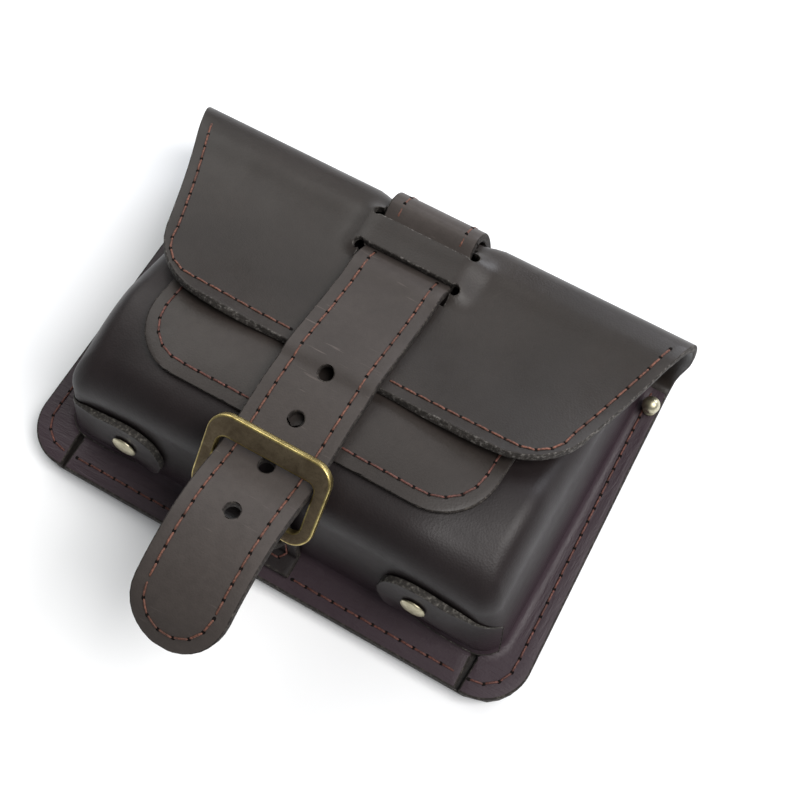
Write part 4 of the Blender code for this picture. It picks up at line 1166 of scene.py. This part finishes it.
def sew(name, lines, slot, material, hidden=None):
    """Rows of stitches: short arched threads that dive into needle holes."""
    bm = bmesh.new()
    # holes gathers the dark discs painted as the shade in the needle holes
    holes = bmesh.new()
    sides = 6
    for line in lines:
        places = even_places(line)
        for (p0, n0), (p1, n1) in zip(places, places[1:]):
            step = p1 - p0
            middle = 0.5 * (p0 + p1)
            if hidden and hidden(middle):
                continue
            wobble = noise.noise(middle * WOBBLE_SCALE) * WOBBLE
            direction = step.normalized()
            side = direction.cross(n0).normalized()
            rings = []
            for share, lift, thick in STITCH:
                centre = p0 + step * share + n0.lerp(n1, share) * (lift * THREAD_R)
                centre += side * (wobble + SLANT * (share - 0.5))
                radius = THREAD_R * thick
                high = radius * THREAD_FLAT
                rings.append([bm.verts.new(centre + side * (radius * c) + n0 * (high * s))
                              for c, s in circle(sides)])
            for ring, after in zip(rings, rings[1:]):
                for q in range(sides):
                    n = (q + 1) % sides
                    bm.faces.new((ring[q], ring[n], after[n], after[q]))
            bm.faces.new(rings[0][::-1])
            bm.faces.new(rings[-1])
            # dark disc painted at the start of the stitch as the shade in its needle hole
            spots = [p0 + direction * (HOLE_LONG * c) + side * (HOLE_WIDE * s) + n0 * HOLE_RISE
                     for c, s in circle(8)]
            holes.faces.new([holes.verts.new(spot) for spot in spots])
    bmesh.ops.recalc_face_normals(bm, faces=bm.faces[:])
    mesh = to_mesh(bm, name)
    mesh.shade_smooth()
    add(name, mesh, slot, material)
    add(name + "_hole_shade", to_mesh(holes, name + "_hole_shade"), slot, HOLE_SHADE)


def surface_line(surface, places):
    """Points and normals of a surface at places given in plan."""
    d = 0.0005
    line = []
    for x, y in places:
        across = surface(x + d, y) - surface(x - d, y)
        up = surface(x, y + d) - surface(x, y - d)
        line.append((surface(x, y), across.cross(up).normalized()))
    return line


FOLD_LINE = spline(sheet_profile(), 6)


def outer_face(x, y):
    """Point of the outer face of the flap or of the upper half of the fold."""
    z = flap_height(y)
    if y > BRIDGE_HIGH_Y:
        found = crossing(FOLD_LINE, y)
        z = found[1].y if found else z
    return sheet_point(x, y, z, sheet_half(y, FOLD_TOP))


def flap_seam(inset):
    """Line at an inset from the flap's free edges."""
    top = BRIDGE_HIGH_Y + 0.0040
    low = FLAP_EDGE_Y + inset
    radius = FLAP_CORNER_R - inset
    ys = [top + (low + radius - top) * k / 26 for k in range(27)]
    side = [(flap_half(y) - inset, y) for y in ys]
    return surface_line(outer_face, mirrored_u(side, radius, low, 8, 40))


def patch_seam(inset):
    """Line at an inset from the patch's sides and lower edge."""
    radius = PATCH_CORNER_R - inset
    low = PATCH_LOW_Y + inset
    top = FLAP_EDGE_Y + 0.010
    side = [(PATCH_HALF - inset, top + (low + radius - top) * k / 8) for k in range(9)]
    places = mirrored_u(side, radius, low, 12, 30)
    line = surface_line(lambda x, y: Vector((x, y, face_point(x, y))), places)
    return [(p + Vector((0, 0, GAP)) + normal * PATCH_T, normal) for p, normal in line]


def on_strip(x, p, normal, thickness):
    """Point and normal of a bent strip's outer face, from its middle line."""
    return Vector((x, p.x, p.y)) + normal * (thickness / 2), normal


def strap_seams(points, inset):
    """Lines along both edges of the strap and round its tip, on its outer face."""
    lengths = run_lengths(points)
    radius = STRAP_W / 2 - inset
    straight = lengths[-1] - STRAP_W / 2
    tip = []
    for q in range(25):
        a = math.pi * q / 24
        k, p = span_at(points, lengths, straight + radius * math.sin(a))
        tip.append(on_strip(radius * math.cos(a), p, strap_normal(points, k), STRAP_T))
    run = [(p, strap_normal(points, k), STRAP_T) for k, p in enumerate(points)
           if lengths[k] <= straight]
    left, right = [[on_strip(x, *spot) for spot in run] for x in (-radius, radius)]
    return [left, tip, right]


def flange_seam(inset):
    path = u_path(PANEL_HALF_BOTTOM - inset, inset, PANEL_CORNER_R - inset, PANEL_LEN - 0.002,
                  (24, 10, 40), PANEL_HALF_TOP - inset)
    return [(Vector((x, y, Z_FLANGE)), Vector((0, 0, 1))) for x, y in path]


def holder_seam(points, inset):
    """U on the lower part of the buckle's holder."""
    half = TAB_W / 2 - inset
    rise = []
    for length, a, b in zip(run_lengths(points)[1:], points, points[1:]):
        if inset <= length <= HOLDER_SEAM_LEN:
            t = (b - a).normalized()
            rise.append((b, Vector((0, -t.y, t.x)), TAB_T))
    left = [on_strip(-half, *spot) for spot in reversed(rise)]
    foot = [on_strip(-half + 2 * half * q / 6, *rise[0]) for q in range(1, 6)]
    return left + foot + [on_strip(half, *spot) for spot in rise]


dressed_back()
dressed_pocket()
dressed_patch()
dressed_ear("left", -1)
dressed_ear("right", 1)
dressed_metal()
STRAP_POINTS = dressed_strap()
TAB_POINTS = dressed_tab()
dressed_buckle()


def under_strap(p):
    return abs(p.x) < STRAP_W / 2 + 0.0008


def flange_gap(p):
    """Places of the bottom flange's seam at the corner slits and under the holder."""
    at_slit = abs(abs(p.x) - CORNER_SLIT_X) < 0.0022
    return abs(p.y) < 0.008 and (at_slit or abs(p.x) < TAB_W / 2 + 0.0005)


def hidden_run(p):
    """Places where the strap is squeezed between other pieces."""
    under_bridge = BRIDGE_LOW_Y - 0.0005 < p.y < BRIDGE_HIGH_Y + 0.0030 and p.z > 0.5 * FOLD_TOP
    under_bar = BUCKLE_Y - 0.0008 < p.y < BUCKLE_Y + 0.0052 and p.z > 0.5 * FOLD_TOP
    return under_bridge or under_bar or p.z < STRAP_T


sew("flap_stitches", [flap_seam(FLAP_INSET)], "back_leather", THREAD_LIGHT, under_strap)
sew("patch_stitches", [patch_seam(PATCH_INSET)], "front_leather", THREAD, under_strap)
sew("flange_stitches", [flange_seam(FLANGE_INSET)], "front_leather", THREAD, flange_gap)
sew("strap_stitches", strap_seams(STRAP_POINTS, STRAP_INSET), "strap_leather", THREAD_LIGHT,
    hidden_run)
sew("holder_stitches", [holder_seam(TAB_POINTS, HOLDER_INSET)], "front_leather", THREAD)

# camera, matched to the photo's outline
CAMERA_AT = (0.108729, -0.119329, 0.453673)
RIGHT = (0.86253, 0.50220, -0.06192)
UP = (-0.45571, 0.82414, 0.33633)
BACK = (0.21994, -0.26188, 0.93971)
FOCAL_PX = 1497.2
PICTURE_PX = 800.0
SENSOR = 36.0
camera_data = bpy.data.cameras.new("photo_camera")
camera_data.sensor_width = SENSOR
camera_data.lens = FOCAL_PX * SENSOR / PICTURE_PX
camera_data.shift_x = 0.03625
camera_data.shift_y = 0.0075
camera_data.clip_start = 0.01
camera = new_object("photo_camera", camera_data)
camera_turn = Matrix((RIGHT, UP, BACK)).transposed().to_4x4()
camera.matrix_world = Matrix.Translation(CAMERA_AT) @ camera_turn
bpy.context.scene.camera = camera

# floor
FLOOR_SIZE = 3.0
FLOOR_Z = -0.0001
floor_bm = bmesh.new()
bmesh.ops.create_grid(floor_bm, x_segments=1, y_segments=1, size=FLOOR_SIZE)
floor_mesh = to_mesh(floor_bm, "floor")
floor = new_object("floor", floor_mesh)
floor.location = (0.0, 0.0, FLOOR_Z)
paper = Nodes("floor_paper", 0.7, 0.0, 0.2)
paper_stops = [(0.3, (0.86, 0.875, 0.90)), (0.7, (0.89, 0.90, 0.915))]
floor_mesh.materials.append(paper.done(paper.ramp(paper.noise(3.0, 2.0), paper_stops)))

# light
world = bpy.data.worlds.new("studio")
world.use_nodes = True
sky = world.node_tree.nodes["Background"].inputs
sky["Color"].default_value = (0.93, 0.97, 1.0, 1.0)
sky["Strength"].default_value = 0.22
bpy.context.scene.world = world
LIGHT_TARGET = Vector((0, 0, 0.03))


def softbox(name, at, size, energy, color):
    data = bpy.data.lights.new(name, "AREA")
    data.shape = "RECTANGLE"
    data.size, data.size_y = size
    data.energy = energy
    data.color = color
    obj = new_object(name, data)
    obj.location = at
    obj.rotation_euler = (LIGHT_TARGET - Vector(at)).to_track_quat("-Z", "Y").to_euler()


softbox("window", (-0.75, 0.62, 0.95), (1.1, 1.1), 10.5, (1.0, 0.99, 0.96))
softbox("overhead", (0.75, 0.05, 1.20), (0.8, 0.8), 22.0, (1.0, 0.98, 0.96))
softbox("back_fill", (0.42, 1.15, 0.52), (0.9, 0.4), 11.0, (0.90, 0.93, 1.0))
bpy.context.scene.view_settings.view_transform = "Standard"
